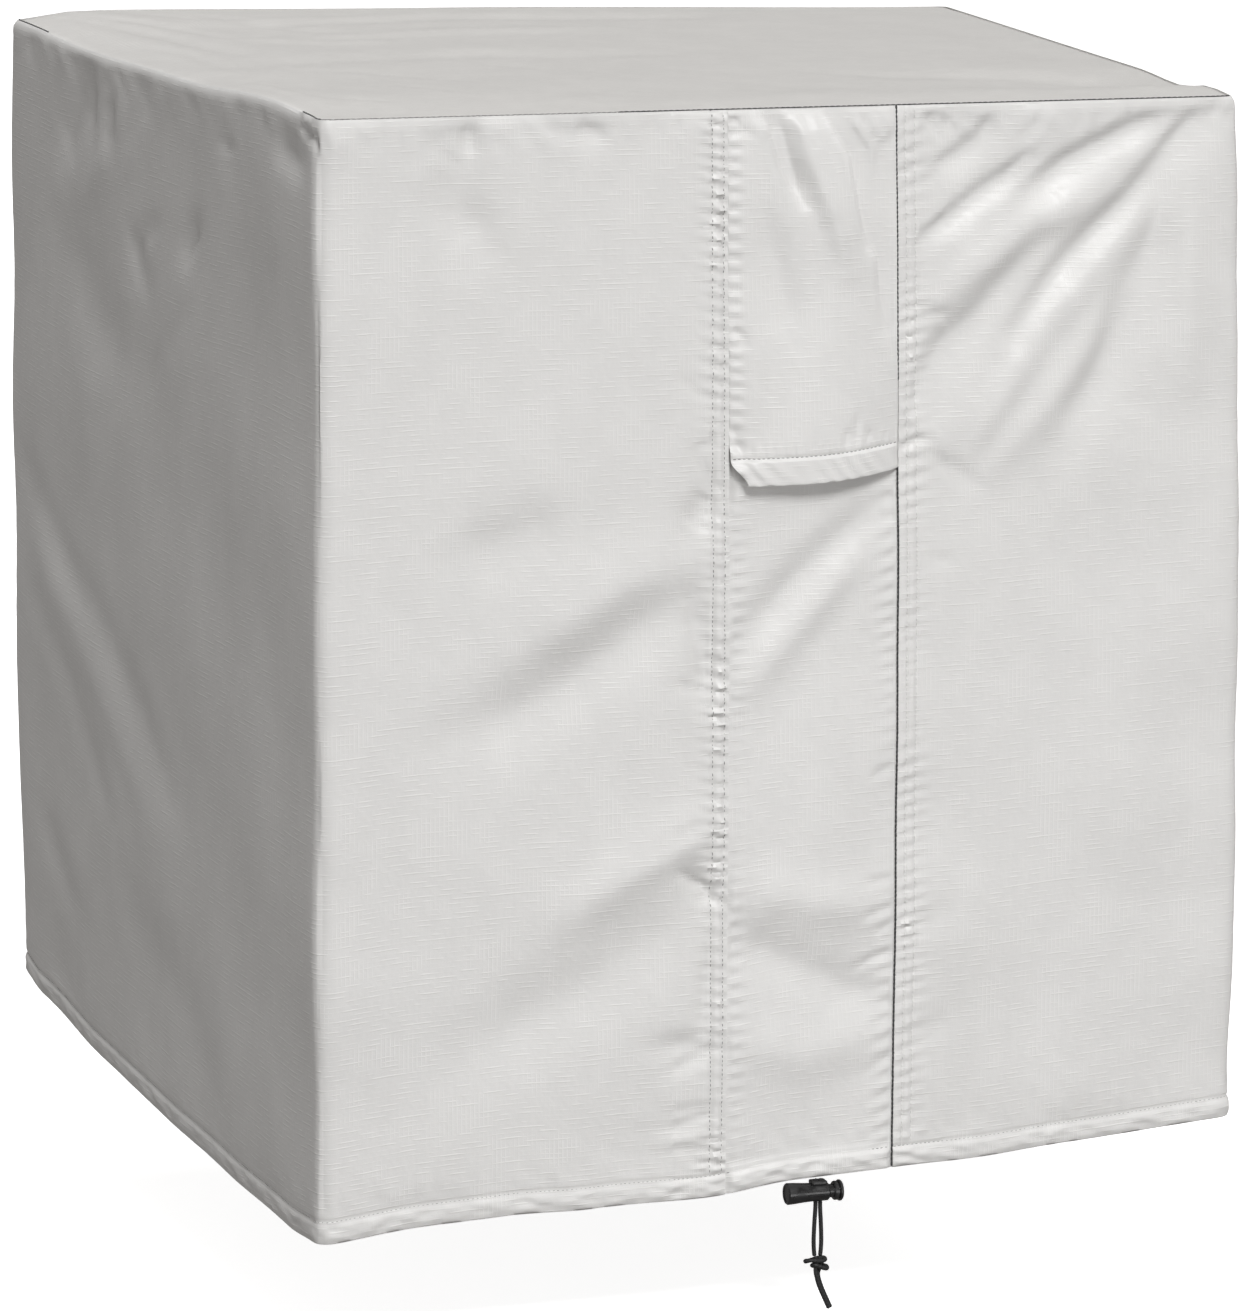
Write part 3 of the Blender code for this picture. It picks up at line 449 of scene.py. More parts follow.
@dataclass(frozen=True)
class CoverForm:
    """The smooth cover and its folds, the same surface that the solids follow."""

    sizes: CoverSizes = SIZES
    sides: tuple = ((-1, -1), (1, -1), (1, 1), (-1, 1))
    top_stray: tuple = ((12, -2, 10), (-16, 7, 0), (29, -13, -17), (-18, 4, -3))
    hem_stray: tuple = ((10, -10, -25), (-7, 7, 16), (0, 0, 0), (-11, 7, 18))
    bow: tuple = (0, 4, 3, 4)
    rim_holds: float = 14
    hem_holds: tuple = (770, 813, 0.7)
    gather: tuple = (1.2, 13.0, 31.0)
    gather_place: tuple = (16, 14)
    fine_rim_holds: float = 9
    fine_hem_holds: tuple = (780, 797, 0.6)
    front_ends: tuple = (740, 800)
    crumple_stretch: float = 1.6
    crumple_wall: float = 0.5
    crumple_rim: tuple = (3.2, 12, 13)
    crumple_hem: tuple = (2.2, 790, 16)

    def corner(self, index: Array, down: Array) -> Array:
        """Where a vertical edge is at each depth, before the cloth rounds it.

        Args:
            index: Which corner, counted from the front left one.
            down: Depths under the top seam.

        Returns:
            One point for each place.
        """
        index = np.asarray(index) % 4
        down = np.asarray(down, float)
        fall = (down / self.sizes.height)[..., None]
        side = np.array(self.sides, float)[index]
        top = np.array(self.top_stray, float)[index]
        hem = np.array(self.hem_stray, float)[index]
        bow = np.array(self.bow, float)[index][..., None]
        bow = bow * np.sin(math.pi * np.clip(fall, 0.0, 1.0))
        flat = side * (self.sizes.width / 2 + bow * MM)
        rise = (self.sizes.top_rise - down)[..., None]
        return np.concatenate([flat, rise], axis=-1) + (top + (hem - top) * fall) * MM

    def girth_place(self, along: Array, down: Array) -> tuple:
        """The smooth cover at each place on its girth.

        Args:
            along: Places on the girth.
            down: Depths under the top seam.

        Returns:
            The points and the ways out from them.
        """
        width, radius = self.sizes.width, self.sizes.corner_radius
        rest = np.mod(along, self.sizes.girth)
        side = np.clip(np.floor(rest / width).astype(int), 0, 3)
        rest = rest - side * width
        here, there = self.corner(side, down), self.corner(side + 1, down)
        share = (rest / width)[..., None]
        flat = here + (there - here) * share
        run = there - here
        out = np.stack([run[..., 1], -run[..., 0], np.zeros_like(rest)], axis=-1)
        near = rest < width / 2
        turn = np.where(near, side, side + 1)
        middle = self.corner(turn, down)
        back = self.corner(turn - 1, down) - middle
        ahead = self.corner(turn + 1, down) - middle
        back /= np.linalg.norm(back, axis=-1, keepdims=True)
        ahead /= np.linalg.norm(ahead, axis=-1, keepdims=True)
        reach = np.where(near, rest / radius, -(width - rest) / radius)
        t = (0.5 + 0.5 * reach)[..., None]
        start, end = middle + back * radius, middle + ahead * radius
        bent = start * (1 - t) ** 2 + middle * 2 * t * (1 - t) + end * t * t
        travel = (middle - start) * (1 - t) + (end - middle) * t
        bent_out = np.stack([travel[..., 1], -travel[..., 0], np.zeros_like(rest)], axis=-1)
        in_turn = (np.minimum(rest, width - rest) < radius)[..., None]
        place = np.where(in_turn, bent, flat)
        out = np.where(in_turn, bent_out, out)
        return place, out / np.linalg.norm(out, axis=-1, keepdims=True)

    def seams_drop(self, along: Array, down: Array) -> Array:
        """How far the rim and the hem pull each place down, in metres.

        Args:
            along: Places on the girth.
            down: Depths under the top seam.

        Returns:
            The drop at each place.
        """
        girth = np.mod(along, self.sizes.girth) / MM
        fall = down / self.sizes.height
        return (RIM_DROP.at(girth) * (1 - fall) + HEM_DROP.at(girth) * fall) * MM

    def wall_folds(self, along: Array, down: Array) -> Array:
        """The main folds of the wall, in metres, as the solids have them.

        Args:
            along: Places on the girth.
            down: Depths under the top seam.

        Returns:
            The height of the folds at each place.
        """
        girth = np.mod(along, self.sizes.girth) / MM
        depth = down / MM
        height = folds(RIGHT_MAIN + LEFT_MAIN + FAR_MAIN, girth, depth)
        height += folds(SIDE_MAIN, self.sizes.girth / MM - girth, depth)
        start, end, share = self.hem_holds
        held = smooth_step(0, self.rim_holds, depth) * (1 - smooth_step(start, end, depth) * share)
        size, short, long = self.gather
        middle, reach = self.gather_place
        gather = size * np.sin(girth / short) * np.sin(girth / long + 1.0)
        height += gather * bump(depth - middle, reach)
        return height * held * MM

    def fine_folds(self, along: Array, down: Array) -> Array:
        """The smaller wrinkles of the wall, in metres.

        Args:
            along: Places on the girth.
            down: Depths under the top seam.

        Returns:
            The height of the wrinkles at each place.
        """
        girth = np.mod(along, self.sizes.girth) / MM
        back = self.sizes.girth / MM - girth
        depth = down / MM
        height = folds(RIGHT_FINE + LEFT_FINE, girth, depth) + folds(SIDE_FINE, back, depth)
        front = 1 - smooth_step(*self.front_ends, girth)
        height += FRONT_SLACK.at(girth, depth) * front
        height += SIDE_SLACK.at(girth, depth) * (1 - front)
        crumpled = self.crumple_wall
        for size, middle, reach in (self.crumple_rim, self.crumple_hem):
            crumpled = crumpled + size * bump(depth - middle, reach)
        height += CRUMPLE.at(girth * self.crumple_stretch, depth) * crumpled
        start, end, share = self.fine_hem_holds
        held = smooth_step(0, self.fine_rim_holds, depth)
        return height * (held * (1 - smooth_step(start, end, depth) * share)) * MM

    def wall_point(self, along: Array, down: Array, out: Array) -> Array:
        """Points of the wall cloth, "out" metres outside its outer face.

        Args:
            along: Places on the girth.
            down: Depths under the top seam.
            out: How far outside the cloth's outer face.

        Returns:
            One point for each place.
        """
        along, down, out = np.broadcast_arrays(
            np.asarray(along, float), np.asarray(down, float), np.asarray(out, float)
        )
        place, outward = self.girth_place(along, down)
        lift = self.wall_folds(along, down) + self.fine_folds(along, down) + out
        place = place + outward * lift[..., None]
        place[..., 2] -= self.seams_drop(along, down)
        return place


FORM = CoverForm()


# Mesh helpers


@dataclass
class ClothGrid:
    """A closed cloth made from grids of points, each column with its own share of the rows."""

    name: str
    outer: Array
    inner: Array
    uv: Array
    outer_steps: list
    inner_steps: list

    def number(self, steps: list, start: int) -> tuple:
        """Numbers the points that a face of the cloth uses.

        Args:
            steps: Every how many rows each column has a point.
            start: The first number.

        Returns:
            Which points are used, and the number of each.
        """
        rows, columns = self.outer.shape[:2]
        use = np.zeros((rows, columns), bool)
        for j, step in enumerate(steps):
            use[::step, j] = True
        numbers = -np.ones((rows, columns), int)
        numbers[use] = start + np.arange(int(use.sum()))
        return use, numbers

    def side_faces(self, steps: list, numbers: Array, inward: bool) -> list:
        """The faces of one side of the cloth.

        Args:
            steps: Every how many rows each column has a point.
            numbers: The number of each point.
            inward: Whether the faces point into the cover.

        Returns:
            Rings of point numbers.
        """
        faces = []
        rows, columns = numbers.shape
        for j in range(columns - 1):
            tall = max(steps[j], steps[j + 1])
            for i in range(0, rows - 1, tall):
                ring = [numbers[i + s, j] for s in range(0, tall + 1, steps[j])]
                ring += [numbers[i + s, j + 1] for s in range(tall, -1, -steps[j + 1])]
                faces.append(ring[::-1] if inward else ring)
        return faces

    def end_faces(self, j: int, outer: Array, inner: Array, first: bool) -> list:
        """The faces that close one end of the cloth.

        Args:
            j: The column at that end.
            outer: The outer points' numbers.
            inner: The inner points' numbers.
            first: Whether it is the first column.

        Returns:
            Rings of point numbers.
        """
        faces = []
        fine, coarse = self.outer_steps[j], self.inner_steps[j]
        tall = max(fine, coarse)
        for i in range(0, outer.shape[0] - 1, tall):
            ring = [outer[i + s, j] for s in range(tall, -1, -fine)]
            ring += [inner[i + s, j] for s in range(0, tall + 1, coarse)]
            faces.append(ring if first else ring[::-1])
        return faces

    def build(self) -> Piece:
        """Makes the mesh object: outer face, inner face and the edges between them.

        Returns:
            The new object.
        """
        use_out, outer = self.number(self.outer_steps, 0)
        count = int(use_out.sum())
        use_in, inner = self.number(self.inner_steps, count)
        points = np.concatenate([self.outer[use_out], self.inner[use_in]])
        uvs = np.concatenate([self.uv[use_out], self.uv[use_in]])
        faces = self.side_faces(self.outer_steps, outer, False)
        faces += self.side_faces(self.inner_steps, inner, True)
        last = self.outer.shape[0] - 1
        for j in range(self.outer.shape[1] - 1):
            k = j + 1
            faces.append([outer[0, j], outer[0, k], inner[0, k], inner[0, j]])
            faces.append([outer[last, k], outer[last, j], inner[last, j], inner[last, k]])
        faces += self.end_faces(0, outer, inner, True)
        faces += self.end_faces(self.outer.shape[1] - 1, outer, inner, False)
        return cloth_object(self.name, points, faces, uvs)


def placed(name: str, data: object) -> Piece:
    """Puts a new object into the scene.

    Args:
        name: The object's name.
        data: Its mesh, light or camera.

    Returns:
        The new object.
    """
    item = bpy.data.objects.new(name, data)
    bpy.context.scene.collection.objects.link(item)
    return item


def ring_faces(first: list, second: list, turned: bool = False) -> list:
    """The faces between two closed loops of point numbers.

    Args:
        first: The one loop.
        second: The other, as long as the first.
        turned: Whether the faces point the other way.

    Returns:
        One ring of point numbers for each face.
    """
    after = zip(first, first[1:] + first[:1], second[1:] + second[:1], second)
    return [ring[::-1] if turned else ring for ring in after]


def cloth_object(name: str, points: object, faces: list, uvs: object) -> Piece:
    """A smooth mesh object with the cloth's own map in metres.

    Args:
        name: The object's name.
        points: Its points.
        faces: Its rings of point numbers.
        uvs: The place of each point on the flat cloth.

    Returns:
        The new object.
    """
    mesh = bpy.data.meshes.new(name)
    mesh.from_pydata(np.asarray(points).tolist(), [], [[int(v) for v in r] for r in faces])
    layer = mesh.uv_layers.new(name=UV_NAME)
    corners = np.empty(len(mesh.loops), dtype=np.int32)
    mesh.loops.foreach_get("vertex_index", corners)
    layer.data.foreach_set("uv", np.asarray(uvs, np.float32)[corners].ravel())
    mesh.shade_smooth()
    mesh.set_sharp_from_angle(angle=math.radians(SHARP_ANGLE))
    return placed(name, mesh)


def spread(start: float, end: float, pitch: float) -> list:
    """Even steps from start to end that are close to pitch, without the last one."""
    count = max(1, round((end - start) / pitch))
    return [start + (end - start) * k / count for k in range(count)]


def wall_rows(count_rim: int, count_middle: int, count_hem: int) -> Array:
    """The depths of the wall's rows in metres, closer at the rim and at the hem.

    Args:
        count_rim: How many rows lie in the rim's zone.
        count_middle: How many lie between the two zones.
        count_hem: How many lie in the hem's zone.

    Returns:
        The depths, with the hem's own edge last.
    """
    stops = (0.0, SIZES.rim_zone, SIZES.hem_zone, SIZES.height)
    rows = []
    for start, end, count in zip(stops, stops[1:], (count_rim, count_middle, count_hem)):
        rows += [start + (end - start) * k / count for k in range(count)]
    return np.array(rows + [SIZES.height])


def smooth_route(points: list, pitch: float) -> Array:
    """A smooth curve through points.

    Args:
        points: The points it passes, in metres.
        pitch: About how far apart the curve's own points are.

    Returns:
        The curve's points.
    """
    ends = [2 * points[0] - points[1], *points, 2 * points[-1] - points[-2]]
    route = [points[0]]
    for a, b, c, d in zip(ends, ends[1:], ends[2:], ends[3:]):
        count = max(1, round(float(np.linalg.norm(c - b)) / pitch))
        for k in range(1, count + 1):
            t = k / count
            bend = (2 * a - 5 * b + 4 * c - d) * t * t + (3 * b - a - 3 * c + d) * t**3
            route.append(0.5 * (2 * b + (c - a) * t + bend))
    return np.array(route)


TUBE_END_REACH = 0.55
TUBE_END_DRAW = 0.6


def tube_mesh(
    route: Array, radius: float, sides: int, braid: float, strands: int, pitch: float,
    closed: bool = False,
) -> tuple:
    """A braided tube along a route.

    Args:
        route: The middle line.
        radius: The cord's radius.
        sides: How many points go round it.
        braid: How far the braid's strands stand out.
        strands: How many strands turn each way.
        pitch: The length of one whole turn of a strand.
        closed: Whether the route joins its own start.

    Returns:
        Points, faces and (round, along) places for the map.
    """
    count = len(route)
    if closed:
        runs = np.roll(route, -1, axis=0) - np.roll(route, 1, axis=0)
    else:
        runs = np.gradient(route, axis=0)
    runs /= np.linalg.norm(runs, axis=1, keepdims=True)
    side = np.cross(runs[0], [0.0, 1.0, 0.3])
    side /= np.linalg.norm(side)
    frames = []
    for run in runs:
        side = side - run * np.dot(side, run)
        side /= np.linalg.norm(side)
        frames.append((side, np.cross(run, side)))
    turns = np.linspace(0, TURN, sides, endpoint=False)
    steps = np.linalg.norm(np.diff(route, axis=0), axis=1)
    travel = np.concatenate([[0], np.cumsum(steps)])
    points, places = [], []
    for k in range(count):
        twist = TURN * travel[k] / pitch
        one = np.cos(strands * (turns - twist))
        two = np.cos(strands * (turns + twist))
        lift = braid * np.maximum(one, two)
        from_end = min(travel[k], travel[-1] - travel[k])
        missing = 0.0 if closed else 1 - min(1.0, from_end / radius / TUBE_END_REACH)
        size = math.sqrt(1 - missing**2 * TUBE_END_DRAW)
        a, b = frames[k]
        ring = np.outer(np.cos(turns), a) + np.outer(np.sin(turns), b)
        points.extend(route[k] + ring * ((radius - braid + lift) * size)[:, None])
        places.extend((s / sides, travel[k]) for s in range(sides))
    faces = []
    loops = [list(range(k * sides, (k + 1) * sides)) for k in range(count)]
    ahead = loops[1:] + (loops[:1] if closed else [])
    for first, second in zip(loops, ahead):
        faces += ring_faces(first, second)
    if not closed:
        faces.append(tuple(range(sides - 1, -1, -1)))
        faces.append(tuple((count - 1) * sides + s for s in range(sides)))
    return points, faces, places


def mesh_piece(name: str, parts: list) -> Piece:
    """One object from several (points, faces, places) parts.

    Args:
        name: The piece's name.
        parts: The parts to join.

    Returns:
        The new object, its faces pointing outwards.
    """
    work = bmesh.new()
    layer = work.loops.layers.uv.new(UV_NAME)
    for points, faces, places in parts:
        verts = [work.verts.new(p) for p in points]
        for ring in faces:
            face = work.faces.new([verts[v] for v in ring])
            face.smooth = True
            for loop, v in zip(face.loops, ring):
                loop[layer].uv = places[v]
    bmesh.ops.recalc_face_normals(work, faces=work.faces)
    mesh = bpy.data.meshes.new(name)
    work.to_mesh(mesh)
    work.free()
    return placed(name, mesh)


# Finishes


def shade_of(tone: tuple, factor: float = 1.0) -> tuple:
    """The tone made darker or lighter by a factor, with its alpha."""
    return (*(min(1.0, c * factor) for c in tone), 1.0)


class Graph:
    """Short ways to add nodes to a material and to join them."""

    def __init__(self, name: str) -> None:
        """Starts a material with one Principled shader.

        Args:
            name: The material's name.
        """
        self.material = bpy.data.materials.new(name)
        self.material.use_nodes = True
        self.tree = self.material.node_tree
        self.shader = self.tree.nodes["Principled BSDF"]

    def add(self, kind: str, **settings: object) -> bpy.types.Node:
        """Adds a node and sets its options.

        Args:
            kind: The node's type.
            settings: Its options by name.

        Returns:
            The new node.
        """
        node = self.tree.nodes.new(kind)
        for name, value in settings.items():
            setattr(node, name, value)
        return node

    def put(self, value: object, socket: Socket) -> None:
        """Links a socket, or writes a plain value into it.

        Args:
            value: Another node's output, or a plain value.
            socket: The input that takes it.
        """
        if isinstance(value, Socket):
            self.tree.links.new(value, socket)
        else:
            socket.default_value = value

    def math(self, operation: str, *values: object) -> Socket:
        """A Math node on sockets or numbers.

        Args:
            operation: What it works out.
            values: Its inputs, in order.

        Returns:
            Its output.
        """
        node = self.add("ShaderNodeMath", operation=operation)
        for socket, value in zip(node.inputs, values):
            self.put(value, socket)
        return node.outputs[0]

    def range(self, value: object, low: float, high: float, first: float, last: float) -> object:
        """A smooth Map Range from low..high to first..last.

        Args:
            value: What is mapped.
            low: Where the rise starts.
            high: Where it ends.
            first: What the start gives.
            last: What the end gives.

        Returns:
            Its output.
        """
        node = self.add("ShaderNodeMapRange", interpolation_type="SMOOTHSTEP")
        for socket, given in zip(node.inputs, (value, low, high, first, last)):
            self.put(given, socket)
        return node.outputs[0]

    def noise(self, vector: object, scale: float, detail: float, rough: float = 0.5) -> object:
        """A noise texture's value.

        Args:
            vector: The places that it reads.
            scale: How many cells it has to a unit.
            detail: How many finer layers it adds.
            rough: How strong those layers are.

        Returns:
            Its value.
        """
        node = self.add("ShaderNodeTexNoise")
        self.put(vector, node.inputs["Vector"])
        node.inputs["Scale"].default_value = scale
        node.inputs["Detail"].default_value = detail
        node.inputs["Roughness"].default_value = rough
        return node.outputs["Fac"]

    def mix(self, share: object, first: object, second: object) -> Socket:
        """A colour mix.

        Args:
            share: The second colour's share.
            first: The first colour.
            second: The second colour.

        Returns:
            The mixed colour.
        """
        node = self.add("ShaderNodeMix", data_type="RGBA")
        self.put(share, node.inputs["Factor"])
        self.put(first, node.inputs["A"])
        self.put(second, node.inputs["B"])
        return node.outputs["Result"]

    def bump(self, height: object, distance: float) -> None:
        """Lays a height over the shader's normal.

        Args:
            height: The height's pattern, from about 0 to 1.
            distance: How high 1 is, in metres.
        """
        node = self.add("ShaderNodeBump")
        node.inputs["Strength"].default_value = 1.0
        node.inputs["Distance"].default_value = distance
        self.put(height, node.inputs["Height"])
        self.put(node.outputs["Normal"], self.shader.inputs["Normal"])

    def stretch(self, places: object, scale: tuple) -> Socket:
        """Scales places by a Mapping node.

        Args:
            places: The places that a pattern reads.
            scale: The factors along X, Y and Z.

        Returns:
            The scaled places.
        """
        node = self.add("ShaderNodeMapping")
        self.put(places, node.inputs["Vector"])
        node.inputs["Scale"].default_value = scale
        return node.outputs["Vector"]

    def set(self, **values: object) -> None:
        """Writes values or links to the shader's sockets, named with _ for a space."""
        for name, value in values.items():
            self.put(value, self.shader.inputs[name.replace("_", " ")])


@dataclass(frozen=True)
class RipstopFinish:
    """Coated silver grey cloth with a grid of thicker threads."""

    name: str
    tone: tuple
    grid: float = 0.0036
    thread: float = 0.20
    weave: float = 0.0008
    relief: float = 0.00016
    roughness: float = 0.40
    patch_scale: float = 24.0
    dash_scale: float = 62.0
    dash_stretch: float = 5.5
    grain_scale: float = 190.0
    darkest: float = 0.97
    lightest: float = 1.09

    def thread_lines(self, graph: Graph, place: object) -> Socket:
        """The thicker threads across one direction of the map.

        Args:
            graph: The material's graph.
            place: Where each point lies in that direction.

        Returns:
            1 on a thread, 0 between two.
        """
        cell = graph.math("FRACT", graph.math("MULTIPLY", place, 1 / self.grid))
        gap = graph.math("ABSOLUTE", graph.math("SUBTRACT", cell, 0.5))
        return graph.range(gap, self.thread * 0.3, self.thread, 1.0, 0.0)

    def plain_weave(self, graph: Graph, across: object, down: object) -> Socket:
        """The fine over-and-under of the ground cloth.

        Args:
            graph: The material's graph.
            across: Where each point lies across the cloth.
            down: Where it lies down the cloth.

        Returns:
            The height, from -1 to 1.
        """
        turn = TURN / self.weave
        one = graph.math("SINE", graph.math("MULTIPLY", across, turn))
        two = graph.math("SINE", graph.math("MULTIPLY", down, turn))
        return graph.math("MULTIPLY", one, two)

    def make(self) -> bpy.types.Material:
        """Builds the material: grid, weave, faint shade changes and coating.

        Returns:
            The material.
        """
        graph = Graph(self.name)
        places = graph.add("ShaderNodeUVMap", uv_map=UV_NAME).outputs["UV"]
        split = graph.add("ShaderNodeSeparateXYZ")
        graph.put(places, split.inputs[0])
        across, down = split.outputs["X"], split.outputs["Y"]
        patchy = graph.noise(places, self.patch_scale, 2.0, 0.6)
        stretched = graph.stretch(places, (1.0, self.dash_stretch, 1.0))
        dashes = graph.noise(stretched, self.dash_scale, 1.0)
        dashes = graph.range(dashes, 0.46, 0.64, 0.12, 1.0)
        level = graph.math("MULTIPLY", self.thread_lines(graph, down), dashes)
        worn = graph.range(patchy, 0.50, 0.68, 0.03, 0.55)
        upright = graph.math("MULTIPLY", self.thread_lines(graph, across), worn)
        threads = graph.math("MAXIMUM", level, upright)
        weave = self.plain_weave(graph, across, down)
        grain = graph.noise(places, self.grain_scale, 1.0)
        height = graph.math("ADD", threads, graph.math("MULTIPLY", weave, 0.10))
        graph.bump(graph.math("ADD", height, graph.math("MULTIPLY", grain, 0.9)), self.relief)
        shade = graph.range(patchy, 0.35, 0.65, 0.0, 1.0)
        colour = graph.mix(shade, shade_of(self.tone, self.darkest), shade_of(self.tone))
        light = shade_of(self.tone, self.lightest)
        colour = graph.mix(graph.math("MULTIPLY", threads, 0.7), colour, light)
        gloss = graph.range(grain, 0.3, 0.7, self.roughness - 0.04, self.roughness + 0.06)
        graph.set(Base_Color=colour, Roughness=gloss, Specular_IOR_Level=0.5)
        graph.set(Sheen_Weight=0.10, Sheen_Roughness=0.5)
        graph.material.diffuse_color = shade_of(self.tone)
        return graph.material


@dataclass(frozen=True)
class ThreadFinish:
    """Twisted sewing thread."""

    name: str
    tone: tuple
    roughness: float = 0.62
    twist_scale: float = 1600.0
    darkest: float = 0.8

    def make(self) -> bpy.types.Material:
        """Builds the material, with a twist along each stitch.

        Returns:
            The material.
        """
        graph = Graph(self.name)
        places = graph.add("ShaderNodeTexCoord").outputs["Object"]
        twist = graph.noise(places, self.twist_scale, 2.0)
        shade = graph.range(twist, 0.3, 0.7, 0.0, 1.0)
        dark = shade_of(self.tone, self.darkest)
        graph.set(Base_Color=graph.mix(shade, dark, shade_of(self.tone)))
        graph.set(Roughness=self.roughness, Sheen_Weight=0.2)
        graph.bump(twist, 0.0001)
        return graph.material


@dataclass(frozen=True)
class BraidFinish:
    """Black braided cord."""

    name: str
    tone: tuple
    roughness: float = 0.6
    fibre_scale: float = 2600.0
    round_way: float = 0.0107
    lightest: float = 2.2

    def make(self) -> bpy.types.Material:
        """Builds the material: fine fibres along the braid and a dusty sheen.

        Returns:
            The material.
        """
        graph = Graph(self.name)
        places = graph.add("ShaderNodeUVMap", uv_map=UV_NAME).outputs["UV"]
        wrapped = graph.stretch(places, (self.round_way, 1.0, 1.0))
        fibres = graph.noise(wrapped, self.fibre_scale, 3.0)
        shade = graph.range(fibres, 0.32, 0.68, 0.0, 1.0)
        light = shade_of(self.tone, self.lightest)
        graph.set(Base_Color=graph.mix(shade, shade_of(self.tone), light))
        graph.set(Roughness=self.roughness, Sheen_Weight=0.08, Sheen_Roughness=0.4)
        graph.bump(fibres, 0.00012)
        return graph.material


@dataclass(frozen=True)
class MouldedFinish:
    """Black moulded plastic with a fine satin skin."""

    name: str
    tone: tuple
    roughness: float = 0.36
    grain_scale: float = 2400.0
    mark_scale: float = 160.0
    lightest: float = 1.7

    def make(self) -> bpy.types.Material:
        """Builds the material: fine moulding grain and handling marks.

        Returns:
            The material.
        """
        graph = Graph(self.name)
        places = graph.add("ShaderNodeTexCoord").outputs["Object"]
        grain = graph.noise(places, self.grain_scale, 2.0)
        marks = graph.noise(places, self.mark_scale, 3.0)
        worn = graph.range(marks, 0.35, 0.7, 0.0, 1.0)
        light = shade_of(self.tone, self.lightest)
        graph.set(Base_Color=graph.mix(worn, shade_of(self.tone), light))
        low, high = self.roughness - 0.05, self.roughness + 0.12
        graph.set(Roughness=graph.range(marks, 0.3, 0.7, low, high), Specular_IOR_Level=0.5)
        graph.bump(grain, 0.00003)
        return graph.material


@dataclass(frozen=True)
class FloorFinish:
    """Plain pale studio floor."""

    name: str = "studio_floor"
    tone: tuple = (0.93, 0.93, 0.93)
    glow: float = 0.86
    cloud_scale: float = 1.5
    darkest: float = 0.985

    def make(self) -> bpy.types.Material:
        """Builds the material: matt, bright enough to run into the backdrop.

        Returns:
            The material.
        """
        graph = Graph(self.name)
        places = graph.add("ShaderNodeTexCoord").outputs["Object"]
        cloudy = graph.range(graph.noise(places, self.cloud_scale, 2.0), 0.3, 0.7, 0.0, 1.0)
        dark = shade_of(self.tone, self.darkest)
        graph.set(Base_Color=graph.mix(cloudy, dark, shade_of(self.tone)))
        graph.set(Roughness=0.9, Emission_Color=(1.0, 1.0, 1.0, 1.0), Emission_Strength=self.glow)
        return graph.material


class Tone(Enum):
    """The base colours of the finishes."""

    WALL = (0.70, 0.695, 0.685)
    TOP = (0.70, 0.69, 0.67)
    STRIP = (0.71, 0.705, 0.695)
    FLAP = (0.71, 0.705, 0.695)
    PALE_THREAD = (0.78, 0.775, 0.76)
    GREY_THREAD_AND_RIM_SHADE = (0.24, 0.236, 0.232)
    DARK_THREAD_AND_RIM_SHADE = (0.045, 0.045, 0.046)
    CORD = (0.0065, 0.0065, 0.007)
    PLASTIC = (0.012, 0.012, 0.0125)


# Studio


